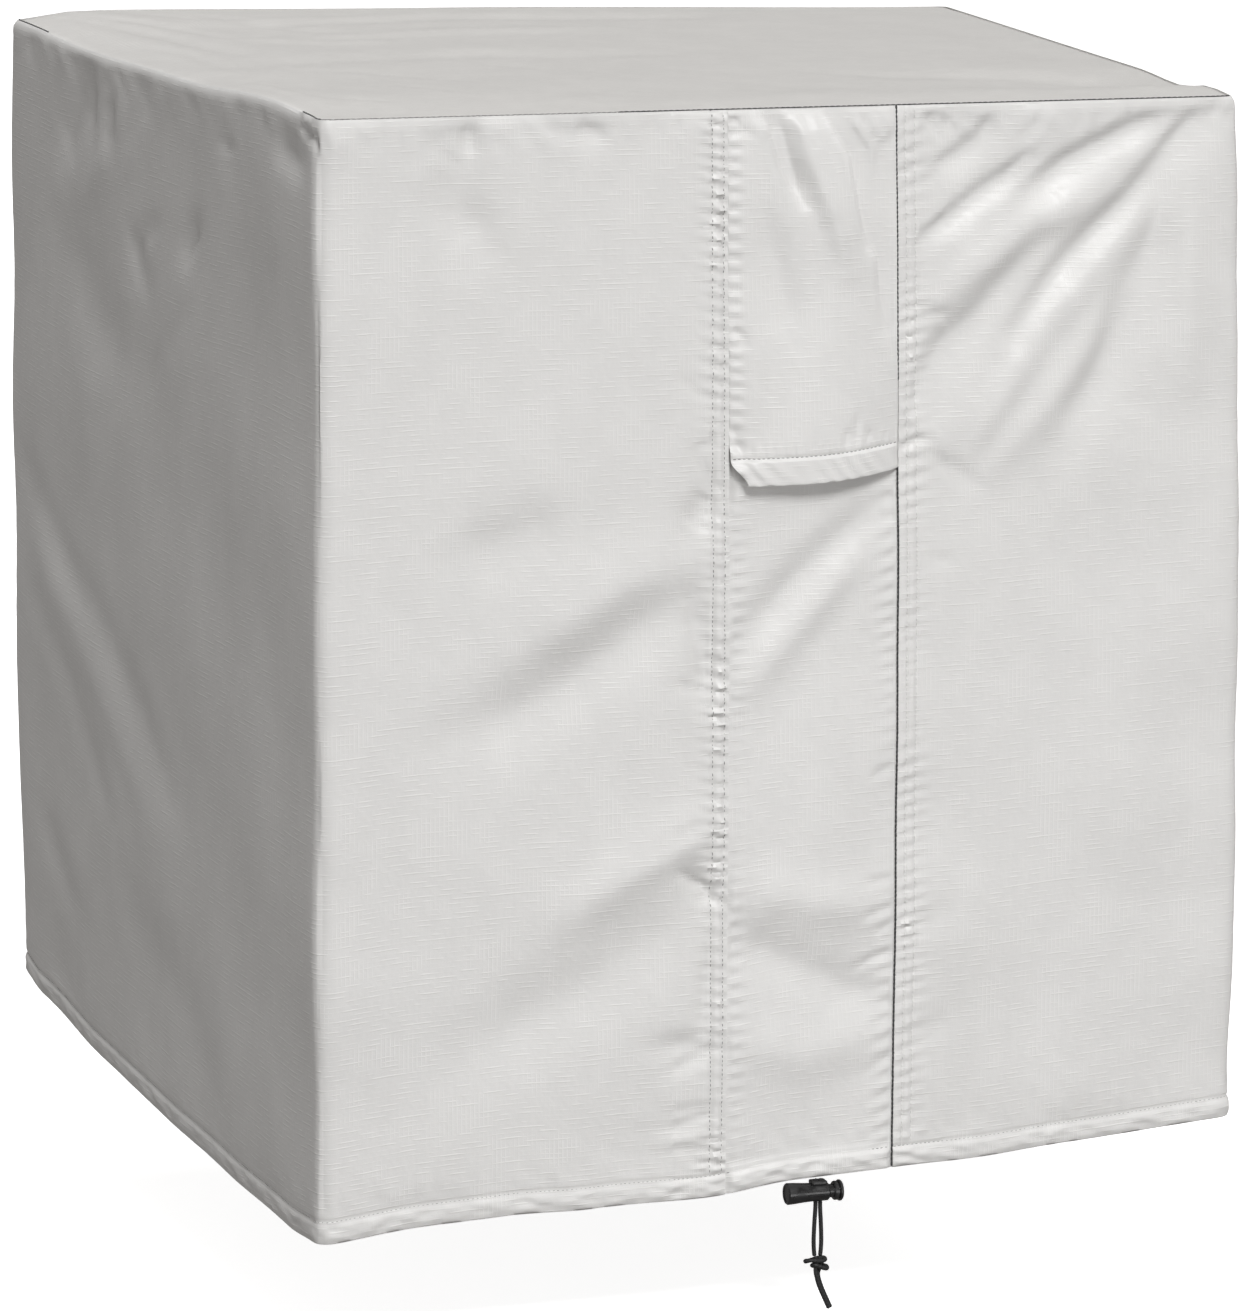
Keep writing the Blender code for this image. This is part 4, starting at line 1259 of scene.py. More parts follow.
@dataclass(frozen=True)
class Studio:
    """Camera, soft lights, floor and backdrop."""

    camera_place: tuple = (-2.2077, -6.5007, 0.8601)
    yaw: float = 18.7515
    pitch: float = 11.018
    roll: float = 0.3036
    lens: float = 254.07
    sensor: float = 36.0
    floor_height: float = -0.930
    floor_half: float = 9.0
    backdrop: float = 1.02
    surround: tuple = (1.0, 0.965, 0.935, 1.0)
    glow_below: float = 0.235
    glow_above: float = 0.225
    middle: tuple = (0.0, -0.1, -0.4)

    def add_camera(self) -> None:
        """Puts the camera at the photograph's viewing angle."""
        yaw, pitch, roll = (math.radians(a) for a in (self.yaw, self.pitch, self.roll))
        ahead = Vector((math.sin(yaw) * math.cos(pitch), math.cos(yaw) * math.cos(pitch), 0))
        ahead.z = -math.sin(pitch)
        right = Vector((math.cos(yaw), -math.sin(yaw), 0))
        up = right.cross(ahead)
        turned = right * math.cos(roll) + up * math.sin(roll)
        upright = up * math.cos(roll) - right * math.sin(roll)
        data = bpy.data.cameras.new("camera")
        data.lens = self.lens
        data.sensor_width = self.sensor
        data.sensor_fit = "HORIZONTAL"
        data.clip_start, data.clip_end = 0.1, 60.0
        camera = placed("camera", data)
        camera.matrix_world = Matrix((
            (turned.x, upright.x, -ahead.x, self.camera_place[0]),
            (turned.y, upright.y, -ahead.y, self.camera_place[1]),
            (turned.z, upright.z, -ahead.z, self.camera_place[2]),
            (0, 0, 0, 1),
        ))
        bpy.context.scene.camera = camera

    def add_light(
        self, name: str, place: tuple, aim: tuple, size: float, power: float
    ) -> None:
        """Adds one soft square light.

        Args:
            name: The light's name.
            place: Where it hangs.
            aim: The point that it faces.
            size: Its side length in metres.
            power: Its power in watts.
        """
        data = bpy.data.lights.new(name, "AREA")
        data.shape = "SQUARE"
        data.size = size
        data.energy = power
        light = placed(name, data)
        light.location = place
        direction = Vector(aim) - Vector(place)
        light.rotation_euler = direction.to_track_quat("-Z", "Y").to_euler()
        light.visible_camera = False

    def add_world(self) -> None:
        """A white backdrop for the eye, and a dimmer soft surround for the light."""
        world = bpy.data.worlds.new("studio")
        bpy.context.scene.world = world
        world.use_nodes = True
        tree = world.node_tree
        nodes, links = tree.nodes, tree.links
        nodes.clear()
        output = nodes.new("ShaderNodeOutputWorld")
        soft, bright = nodes.new("ShaderNodeBackground"), nodes.new("ShaderNodeBackground")
        mix, path = nodes.new("ShaderNodeMixShader"), nodes.new("ShaderNodeLightPath")
        soft.inputs["Color"].default_value = self.surround
        ways, split = nodes.new("ShaderNodeTexCoord"), nodes.new("ShaderNodeSeparateXYZ")
        links.new(ways.outputs["Generated"], split.inputs[0])
        rise = nodes.new("ShaderNodeMapRange")
        for socket, value in zip(rise.inputs[1:], (-0.6, 0.6, self.glow_below, self.glow_above)):
            socket.default_value = value
        links.new(split.outputs["Z"], rise.inputs["Value"])
        links.new(rise.outputs[0], soft.inputs["Strength"])
        bright.inputs["Color"].default_value = (1.0, 1.0, 1.0, 1.0)
        bright.inputs["Strength"].default_value = self.backdrop
        links.new(path.outputs["Is Camera Ray"], mix.inputs["Fac"])
        links.new(soft.outputs[0], mix.inputs[1])
        links.new(bright.outputs[0], mix.inputs[2])
        links.new(mix.outputs[0], output.inputs["Surface"])

    def add_floor(self) -> None:
        """A wide plain floor under the cover."""
        mesh = bpy.data.meshes.new("floor")
        half, z = self.floor_half, self.floor_height
        mesh.from_pydata(
            [(-half, -half, z), (half, -half, z), (half, half, z), (-half, half, z)],
            [], [(0, 1, 2, 3)],
        )
        floor = placed("floor", mesh)
        mesh.materials.append(FloorFinish().make())
        floor.visible_diffuse = False
        floor.visible_glossy = False

    def build(self) -> None:
        """Sets up the whole studio."""
        self.add_camera()
        self.add_world()
        self.add_floor()
        self.add_light("key", (-0.7, -8.8, 7.8), self.middle, 3.0, 1080)
        self.add_light("low_fill", (0.6, -2.4, -0.88), (0.2, -0.4, -0.6), 1.0, 12)
        self.add_light("left_fill", (-2.6, -0.9, -0.88), (-0.4, 0.0, -0.6), 1.0, 11)
        self.add_light("right_light", (7.5, -0.5, 4.0), self.middle, 3.0, 160)
        self.add_light("back_light", (-1.0, 7.5, 6.5), self.middle, 3.0, 210)
        scene = bpy.context.scene
        scene.view_settings.view_transform = "Standard"
        scene.view_settings.look = "None"


# Drawcord and lock


@dataclass
class Drawcord:
    """The two strands that hang out of the hem, and the knot that ties them."""

    sizes: CordSizes = CORD
    sides: int = 28
    braid: float = 0.00022
    braid_strands: int = 4
    braid_pitch: float = 0.0105
    route_pitch: float = 0.00045
    hem_clearance: float = 0.0002
    behind_hem: float = 0.0010
    drift: tuple = (
        (0.0, 0.0), (0.021, 0.0), (0.034, 0.0007), (0.047, 0.0012), (0.055, 0.0010),
    )
    wraps: tuple = (
        (-0.0028, -0.0016, 0.0080, 0.0030, 0.05), (-0.0080, 0.0020, 0.0060, 0.0029, -0.20),
    )
    wrap_points: int = 72

    def places(self) -> tuple:
        """Where the lock's left end, its cord slot and the hem above it lie.

        Returns:
            A point, the slot's x and a point.
        """
        along, down = np.array(self.sizes.lock_along), np.array(SIZES.height)
        place, outward = FORM.girth_place(along, down)
        point = place + outward * FORM.wall_folds(along, down)
        point[2] -= FORM.seams_drop(along, down)
        start = np.array([
            point[0] - self.sizes.barrel_length / 2,
            point[1] - self.behind_hem,
            point[2] - self.sizes.barrel_drop,
        ])
        slot = start[0] + self.sizes.barrel_length - self.sizes.slot_from_end
        return start, slot, point

    def strand_route(self, side: int) -> Array:
        """The middle line of one strand, from under the hem to the knot.

        Args:
            side: -1 for the left strand, 1 for the right one.

        Returns:
            The route's points.
        """
        start, slot, hem = self.places()
        x = slot + side * (self.sizes.diameter + self.sizes.gap) / 2
        top = hem[2] - self.sizes.gap - self.hem_clearance
        ways = (*self.drift, (self.sizes.strand_length, 0.0004))
        points = [np.array([x + side * s, start[1], top - d]) for d, s in ways]
        return smooth_route(points, self.route_pitch)

    def tube(self, route: Array, closed: bool = False) -> tuple:
        """The cord's braided tube along a route.

        Args:
            route: The middle line.
            closed: Whether the route joins its own start.

        Returns:
            Points, faces and places for the map.
        """
        return tube_mesh(
            route, self.sizes.diameter / 2, self.sides, self.braid, self.braid_strands,
            self.braid_pitch, closed,
        )

    def build_strand(self, side: int) -> Piece:
        """One braided strand.

        Args:
            side: -1 for the left strand, 1 for the right one.

        Returns:
            The new piece.
        """
        name = "drawcord_left" if side < 0 else "drawcord_right"
        node = "cord_strand_left" if side < 0 else "cord_strand_right"
        route = self.strand_route(side)
        piece = mesh_piece(name, [self.tube(route)])
        piece.data.materials.append(BraidFinish(name + "_braid", Tone.CORD.value).make())
        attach(piece, COVER)
        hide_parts(node)
        return piece

    def knot_routes(self) -> list:
        """The routes of the two ends through the knot, and its two wraps.

        Returns:
            Pairs of a route and whether it is closed.
        """
        start, slot, hem = self.places()
        gap, radius = self.sizes.gap, self.sizes.diameter / 2
        top = hem[2] - gap - self.hem_clearance - self.sizes.strand_length - gap
        middle = np.array([slot, start[1], top])
        routes = []
        for side in (-1, 1):
            base = middle + np.array([side * radius * 0.98, 0, 0])
            drift = np.array([0.0105, 0.0, -self.sizes.tail_length])
            steps = ((0.0, 0.0), (-0.006, 0.0006), (-0.010, 0.0002))
            points = [base + np.array([dx, side * 0.0006, z]) for z, dx in steps]
            foot = base + np.array([-side * 0.0006, side * 0.0011, -self.sizes.knot_height])
            points += [foot, foot + drift * 0.35 - np.array([0.001, 0, 0]), foot + drift]
            routes.append((smooth_route(points, self.route_pitch), False))
        for z, x, wide, deep, tilt in self.wraps:
            turn = np.linspace(0, TURN, self.wrap_points, endpoint=False)
            ring = np.stack([
                wide * np.cos(turn), deep * np.sin(turn), 0.0008 * np.sin(2 * turn)
            ], axis=1)
            ring[:, 2] += math.tan(tilt) * ring[:, 0]
            routes.append((ring + middle + np.array([x, 0, z]), True))
        return routes

    def build_knot(self) -> Piece:
        """The knot with its two free tails, in the same braid.

        Returns:
            The new piece.
        """
        parts = [self.tube(route, closed) for route, closed in self.knot_routes()]
        piece = mesh_piece("drawcord_knot", parts)
        piece.data.materials.append(BraidFinish("knot_braid", Tone.CORD.value).make())
        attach(piece, COVER)
        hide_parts("cord_knot")
        return piece

    def build(self) -> list:
        """Builds the knot first, then the two strands."""
        knot = self.build_knot()
        return [self.build_strand(-1), self.build_strand(1), knot]


@dataclass
class CordLock:
    """The lock's barrel and plunger, which keep the solids' own shapes."""

    barrel: MouldedFinish = MouldedFinish("barrel_moulding", Tone.PLASTIC.value, 0.27)
    plunger: MouldedFinish = MouldedFinish("plunger_moulding", Tone.PLASTIC.value, 0.25)

    def dress(self, node: str, finish: MouldedFinish) -> Piece:
        """Gives one solid its plastic.

        Args:
            node: The solid's name.
            finish: Its plastic.

        Returns:
            The solid's object.
        """
        piece = bpy.data.objects[node]
        material = finish.make()
        if piece.material_slots:
            for place in piece.material_slots:
                place.material = material
        else:
            piece.data.materials.append(material)
        return piece

    def build(self) -> list:
        """Dresses both solids.

        Returns:
            Their objects.
        """
        return [
            self.dress("cord_lock_barrel", self.barrel),
            self.dress("cord_lock_plunger", self.plunger),
        ]


# Cloth pieces


@dataclass
class SeamRelief:
    """What sewing does to the cloth beside a seam: grooves under the stitches and puckers."""

    rows: tuple
    edge: float
    side: int
    seed: int
    puff: float = 0.7
    groove: float = 1.1
    pucker: float = 1.6
    wave: float = 10.5
    groove_width: float = 1.3
    beyond: tuple = (5, 8)

    def at(self, along: Array, down: Array) -> Array:
        """The relief in metres.

        Args:
            along: Places on the girth.
            down: Depths under the top seam.

        Returns:
            The height of the relief at each place.
        """
        away = (along - self.edge) / MM * self.side
        depth = down / MM
        inside = smooth_step(-0.5, 0.5, away)
        last = max(self.rows)
        height = self.puff * bump(away - last * 0.62, last * 0.42)
        for row in self.rows:
            height = height - self.groove * bump(away - row, self.groove_width)
        draw = np.random.default_rng(self.seed)
        phases = draw.uniform(0, TURN, 5)
        wander = 2.3 * np.sin(depth / 37 + phases[0]) + 1.5 * np.sin(depth / 17 + phases[1])
        turn = TURN * depth / self.wave + wander
        ripple = np.sin(turn + 0.12 * away) + 0.35 * np.sin(1.7 * turn + phases[4] - 0.2 * away)
        strength = 0.65 + 0.5 * np.sin(depth / 53 + phases[2]) * np.sin(depth / 29 + phases[3])
        middle, width = self.beyond
        reach = bump(away - last * 0.5, last * 0.62) + 0.45 * bump(away - last - middle, width)
        return (height + self.pucker * ripple * strength * reach) * inside * MM


LEFT_SEAM_RELIEF = SeamRelief((3.5, 13.0), SIZES.left_seam, -1, seed=5)
RIGHT_SEAM_RELIEF = SeamRelief((7.0, 15.0), SIZES.right_seam, 1, seed=8, groove=0.8, pucker=1.1)


def above_hem(down: Array) -> Array:
    """1 on the wall and 0 on the hem, where the seams' relief has faded out."""
    return 1 - smooth_step(SIZES.relief_fades, SIZES.sewn_to, down)


def rounded(share: Array) -> Array:
    """A half circle's height over its width: 0 at the shares 0 and 1, and 1 between them."""
    return np.sqrt(np.clip(1 - (2 * share - 1) ** 2, 0.0, 1.0))


@dataclass
class HemForm:
    """The drawcord tunnel: a stitched-down fold that is puffed, rounded and crumpled."""

    height: float = SIZES.hem_height
    puff: float = 0.0013
    inner_puff: float = 0.0012
    crumple: float = 4.5
    crumple_pitch: tuple = (1.1, 2.4)
    groove: float = 1.1
    groove_width: float = 1.2

    def share(self, down: Array) -> Array:
        """How far down the tunnel each place is, from 0 to 1."""
        return np.clip((down - (SIZES.height - self.height)) / self.height, 0.0, 1.0)

    def outer(self, along: Array, down: Array) -> Array:
        """How far the tunnel stands out of the wall.

        Args:
            along: Places on the girth.
            down: Depths under the top seam.

        Returns:
            The height at each place, in metres.
        """
        top, share = SIZES.height - self.height, self.share(down)
        dome = np.clip(1 - (2 * share - 1) ** 6, 0.0, 1.0) ** 0.5
        fade = smooth_step(0.0, 0.35, share) * (1 - smooth_step(0.75, 1.0, share))
        across, depth = self.crumple_pitch
        crumple = CRUMPLE.at(along / MM * across, down / MM * depth) * self.crumple * MM
        groove = self.groove * MM * bump((down - top) / MM - 0.2, self.groove_width)
        return self.puff * dome * (0.55 + 0.45 * fade) + crumple * fade - groove

    def inner(self, down: Array) -> Array:
        """How far the tunnel stands into the cover at each depth, in metres."""
        return self.inner_puff * rounded(self.share(down))


HEM = HemForm()


@dataclass(frozen=True)
class RimSizes:
    """How the wall's top edge rolls in, in metres: tightly on the front, fully elsewhere."""

    front_ends: tuple = (0.735, 0.775)
    front_starts: tuple = (3.020, 3.046)
    radius: float = 0.0075
    tighter: float = 0.0040
    inward: float = 0.0040
    flatter: float = 0.0024
    roundness: float = 0.98


RIM = RimSizes()


def rim_roll(along: Array, down: Array) -> Array:
    """How far the wall's top edge rolls in to the rim seam, in metres.

    Args:
        along: Places on the girth.
        down: Depths under the top seam.

    Returns:
        The way in at each place.
    """
    girth = np.mod(along, SIZES.girth)
    front = 1 - smooth_step(*RIM.front_ends, girth) + smooth_step(*RIM.front_starts, girth)
    radius = RIM.radius - RIM.tighter * front
    inward = RIM.inward - RIM.flatter * front
    near = np.clip(1 - down / radius, 0.0, 1.0)
    return inward * (1 - np.sqrt(1 - near**2 * RIM.roundness))


@dataclass
class WallBand:
    """The long cloth from the right front seam round the back to the left front seam."""

    finish: RipstopFinish = RipstopFinish("wall_ripstop", Tone.WALL.value)
    seam_zone: float = 0.019
    near_zone: float = 0.042
    seam_pitch: float = 0.0014
    near_pitch: float = 0.0027
    front_pitch: float = 0.0038
    front_changes: float = 0.700
    edge_pitch: float = 0.0050
    far_pitch: float = 0.030
    corner_pitch: float = 0.0036
    side_pitch: float = 0.0096
    left_corner_pitch: float = 0.0024
    left_front_pitch: float = 0.0049

    def columns(self) -> tuple:
        """The columns of the cloth's grid.

        Returns:
            Their places on the girth, and at every how many rows each has a point.
        """
        turn = SIZES.corner_radius
        left, right, width = SIZES.left_seam, SIZES.right_seam, SIZES.width
        girth = SIZES.girth
        marks: list = []

        def run(start: float, end: float, pitch: float, step: int) -> None:
            """Adds a stretch of columns."""
            marks.extend((c, step) for c in spread(start, end, pitch))

        seam, near = self.seam_zone, self.near_zone
        run(right, right + seam, self.seam_pitch, 1)
        run(right + seam, right + near, self.near_pitch, 1)
        run(right + near, self.front_changes, self.front_pitch, 2)
        run(self.front_changes, width - turn, self.edge_pitch, 2)
        for corner in (1, 2, 3):
            at = corner * width
            run(at - turn, at + turn, self.corner_pitch, 2)
            if corner < 3:
                run(at + turn, at + width - turn, self.far_pitch, 8)
            else:
                run(at + turn, girth - turn, self.side_pitch, 2)
        run(girth - turn, girth + turn, self.left_corner_pitch, 2)
        run(girth + turn, girth + left - near, self.left_front_pitch, 2)
        run(girth + left - near, girth + left - seam, self.near_pitch, 1)
        run(girth + left - seam, girth + left, self.seam_pitch, 1)
        marks.append((girth + left, 1))
        return np.array([m[0] for m in marks]), [m[1] for m in marks]

    def build(self) -> Piece:
        """Returns:
            The new piece.
        """
        along, steps = self.columns()
        rows = wall_rows(24, 240, 24)
        grid_along, grid_down = np.meshgrid(along, rows)
        front = np.where(grid_along > SIZES.girth, grid_along - SIZES.girth, grid_along)
        relief = LEFT_SEAM_RELIEF.at(front, grid_down) * (grid_along > SIZES.girth)
        relief = relief + RIGHT_SEAM_RELIEF.at(front, grid_down) * (grid_along < SIZES.width)
        relief *= above_hem(grid_down)
        hem = HEM.outer(front, grid_down)
        roll = rim_roll(grid_along, grid_down)
        outer = FORM.wall_point(grid_along, grid_down, relief + hem - roll)
        inner_out = relief - roll - SIZES.cloth - HEM.inner(grid_down)
        inner = FORM.wall_point(grid_along, grid_down, inner_out)
        uv = np.stack([grid_along, grid_down], axis=-1)
        coarse = [max(step, 2) for step in steps]
        piece = ClothGrid("wall_cloth_band", outer, inner, uv, steps, coarse).build()
        piece.data.materials.append(self.finish.make())
        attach(piece, COVER)
        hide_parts("wall_band")
        return piece


@dataclass
class CentreStrip:
    """The strip between the two front seams, behind the flap and down to the hem."""

    finish: RipstopFinish = RipstopFinish("strip_ripstop", Tone.STRIP.value)
    seam_rise: float = 0.006
    lap_pitch: float = 0.004
    seam_pitch: float = 0.0018
    pitch: float = 0.0036

    def between_seams(self, along: Array) -> Array:
        """1 between the seams and 0 on the laps, with a soft step at each seam.

        Args:
            along: Places on the girth.

        Returns:
            The share at each place.
        """
        left, right = SIZES.left_seam, SIZES.right_seam
        inside = smooth_step(left, left + self.seam_rise, along)
        return inside * (1 - smooth_step(right - self.seam_rise, right, along))

    def lift(self, along: Array, down: Array) -> Array:
        """The strip's own folds and puckers, in metres.

        Args:
            along: Places on the girth.
            down: Depths under the top seam.

        Returns:
            The height at each place.
        """
        across, depth = along / MM, down / MM
        height = folds(STRIP_MAIN + STRIP_FINE, across, depth)
        ripple = np.sin(TURN * depth / 11.0 + 1.6 * np.sin(depth / 41))
        height += 0.8 * ripple * bump(across - 337, 10) * (0.6 + 0.4 * np.sin(depth / 47))
        ripple = np.sin(TURN * depth / 13.0 + 1.9 * np.sin(depth / 33) + across * 0.12)
        height += 1.0 * ripple * bump(across - 468, 12) * (0.6 + 0.4 * np.sin(depth / 61 + 2))
        return height * self.between_seams(along) * MM

    def lap(self, along: Array, down: Array) -> Array:
        """What the seams do to the strip's own laps under the wall, in metres.

        Args:
            along: Places on the girth.
            down: Depths under the top seam.

        Returns:
            The height at each place.
        """
        left = LEFT_SEAM_RELIEF.at(along, down) * (along < SIZES.left_seam)
        right = RIGHT_SEAM_RELIEF.at(along, down) * (along > SIZES.right_seam)
        return (left + right) * above_hem(down)

    def build(self) -> Piece:
        """Returns:
            The new piece.
        """
        left, right, lap = SIZES.left_seam, SIZES.right_seam, SIZES.seam_lap
        columns = spread(left - lap, left, self.lap_pitch)
        columns += spread(left, left + 0.020, self.seam_pitch)
        columns += spread(left + 0.020, right - 0.024, self.pitch)
        columns += spread(right - 0.024, right, self.seam_pitch)
        columns += spread(right, right + lap, self.lap_pitch) + [right + lap]
        rows = wall_rows(18, 266, 20)
        grid_along, grid_down = np.meshgrid(np.array(columns), rows)
        inside = self.between_seams(grid_along)
        lift = self.lift(grid_along, grid_down) + self.lap(grid_along, grid_down)
        hem = HEM.outer(grid_along, grid_down) * inside
        flush = SIZES.layer * smooth_step(SIZES.relief_fades, 0.800, grid_down) * inside
        outer = FORM.wall_point(grid_along, grid_down, lift - SIZES.layer + hem + flush)
        inner = lift - SIZES.layer - SIZES.cloth - HEM.inner(grid_down) * inside
        inner = FORM.wall_point(grid_along, grid_down, inner)
        uv = np.stack([grid_along + 0.0011, grid_down + 0.0007], axis=-1)
        steps = [1] * len(columns)
        piece = ClothGrid("centre_cloth_strip", outer, inner, uv, steps, steps).build()
        piece.data.materials.append(self.finish.make())
        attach(piece, COVER)
        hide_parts("centre_strip")
        return piece


@dataclass
class VentFlap:
    """The flap over the upper part of the strip, open along its folded hem."""

    finish: RipstopFinish = RipstopFinish("flap_ripstop", Tone.FLAP.value)

    def stand(self, along: Array, down: Array) -> Array:
        """How far the flap stands off the strip behind it, in metres.

        Args:
            along: Places on the girth.
            down: Depths under the top seam.

        Returns:
            The way out at each place.
        """
        left, right = SIZES.left_seam, SIZES.right_seam
        u = np.clip((along - left) / (right - left), 0.0, 1.0)
        loose = smooth_step(SIZES.flap_free_from, SIZES.flap_length, down) * 0.6
        loose = loose * (1 - smooth_step(0.1, 0.6, u))
        arch = np.sin(math.pi * u).clip(0.0, 1.0) ** 0.8
        arch = arch + (1 - arch) * loose
        depth = down / SIZES.flap_length
        stand = 5.0 * smooth_step(0, 0.06, depth) + 3.0 * smooth_step(0, 0.3, depth)
        stand = stand + 6.0 * smooth_step(0.45, 1.0, depth)
        height = folds(FLAP_MAIN, along / MM, down / MM) * np.minimum(1.0, 2 * arch)
        height = height + folds(FLAP_FINE, along / MM, down / MM) * np.minimum(1.0, 5 * arch)
        height = height * smooth_step(0, 0.03, depth)
        raised = stand * arch + height
        return np.where(raised > 0, raised, 0.6 * np.tanh(raised / 0.6)) * MM

    def hem_relief(self, along: Array, down: Array) -> Array:
        """The flap's folded hem: thicker, drawn under its stitches and roped, in metres.

        Args:
            along: Places on the girth.
            down: Depths under the top seam.

        Returns:
            The height at each place.
        """
        line = (SIZES.flap_length - SIZES.flap_hem) / MM
        depth = down / MM - line
        band = smooth_step(0.0, 2.0, depth)
        lean = (along / MM - depth * 0.8) / 15.0
        roping = np.sin(TURN * lean + 1.4 * np.sin(along / MM / 17))
        roping = roping * (0.65 + 0.35 * np.sin(along / MM / 11 + 1))
        dome = rounded(np.clip(depth / (SIZES.flap_hem / MM), 0.0, 1.0))
        height = band * 0.9 + 0.75 * roping * dome - 1.1 * bump(depth, 1.4)
        above = np.sin(TURN * along / MM / 8.5 + 1.3 * np.sin(along / MM / 15))
        return (height + 0.5 * above * bump(depth + 5, 5)) * MM

    def point(self, share: Array, row: Array, out: Array) -> Array:
        """Points of the flap.

        Args:
            share: The way from its left edge to its right edge, from 0 to 1.
            row: The way down, in metres.
            out: How far outside the flap's own face.

        Returns:
            One point for each place.
        """
        length, hem = SIZES.flap_length, SIZES.flap_hem
        notch = 0.012 * smooth_step(length - hem + 0.002, length, row)
        left = SIZES.left_seam + 0.00005 + notch
        right = SIZES.right_seam - 0.0007
        along = left + (right - left) * share
        dip = 0.002 * np.sin(math.pi * share) - 0.0045 * share * share
        down = row + dip * smooth_step(0.18, length, row)
        edges = np.minimum(1.0, 12 * np.minimum(share, 1 - share) + 0.25)
        relief = self.hem_relief(along, row) * edges
        ripple = np.sin(TURN * row / MM / 11.0 + 1.7 * np.sin(row / MM / 29))
        relief = relief + 1.0 * MM * ripple * bump((along - SIZES.left_seam) / MM - 5, 6)
        return FORM.wall_point(along, down, out + self.stand(along, row) + relief)

    def build(self) -> Piece:
        """Returns:
            The new piece.
        """
        shares = np.concatenate([
            np.linspace(0, 0.12, 12, endpoint=False), np.linspace(0.12, 0.88, 54, endpoint=False),
            np.linspace(0.88, 1.0, 12),
        ])
        rows = np.concatenate([
            np.linspace(0.0004, 0.030, 14, endpoint=False),
            np.linspace(0.030, 0.240, 84, endpoint=False),
            np.linspace(0.240, SIZES.flap_length, 34),
        ])
        grid_share, grid_row = np.meshgrid(shares, rows)
        roll = rim_roll(np.full_like(grid_row, 0.4), grid_row)
        end = np.clip(1 - (SIZES.flap_length - grid_row) / 0.0012, 0.0, 1.0)
        outer = self.point(grid_share, grid_row, -roll - 0.0004 * end**2)
        inner = self.point(grid_share, grid_row, -SIZES.cloth - roll * 0.2 + 0.0004 * end**2)
        along = SIZES.left_seam + (SIZES.right_seam - SIZES.left_seam) * grid_share
        uv = np.stack([along + 0.0005, grid_row + 0.0015], axis=-1)
        steps = [1] * len(shares)
        piece = ClothGrid("vent_flap_cloth", outer, inner, uv, steps, steps).build()
        piece.data.materials.append(self.finish.make())
        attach(piece, COVER)
        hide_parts("vent_flap")
        return piece


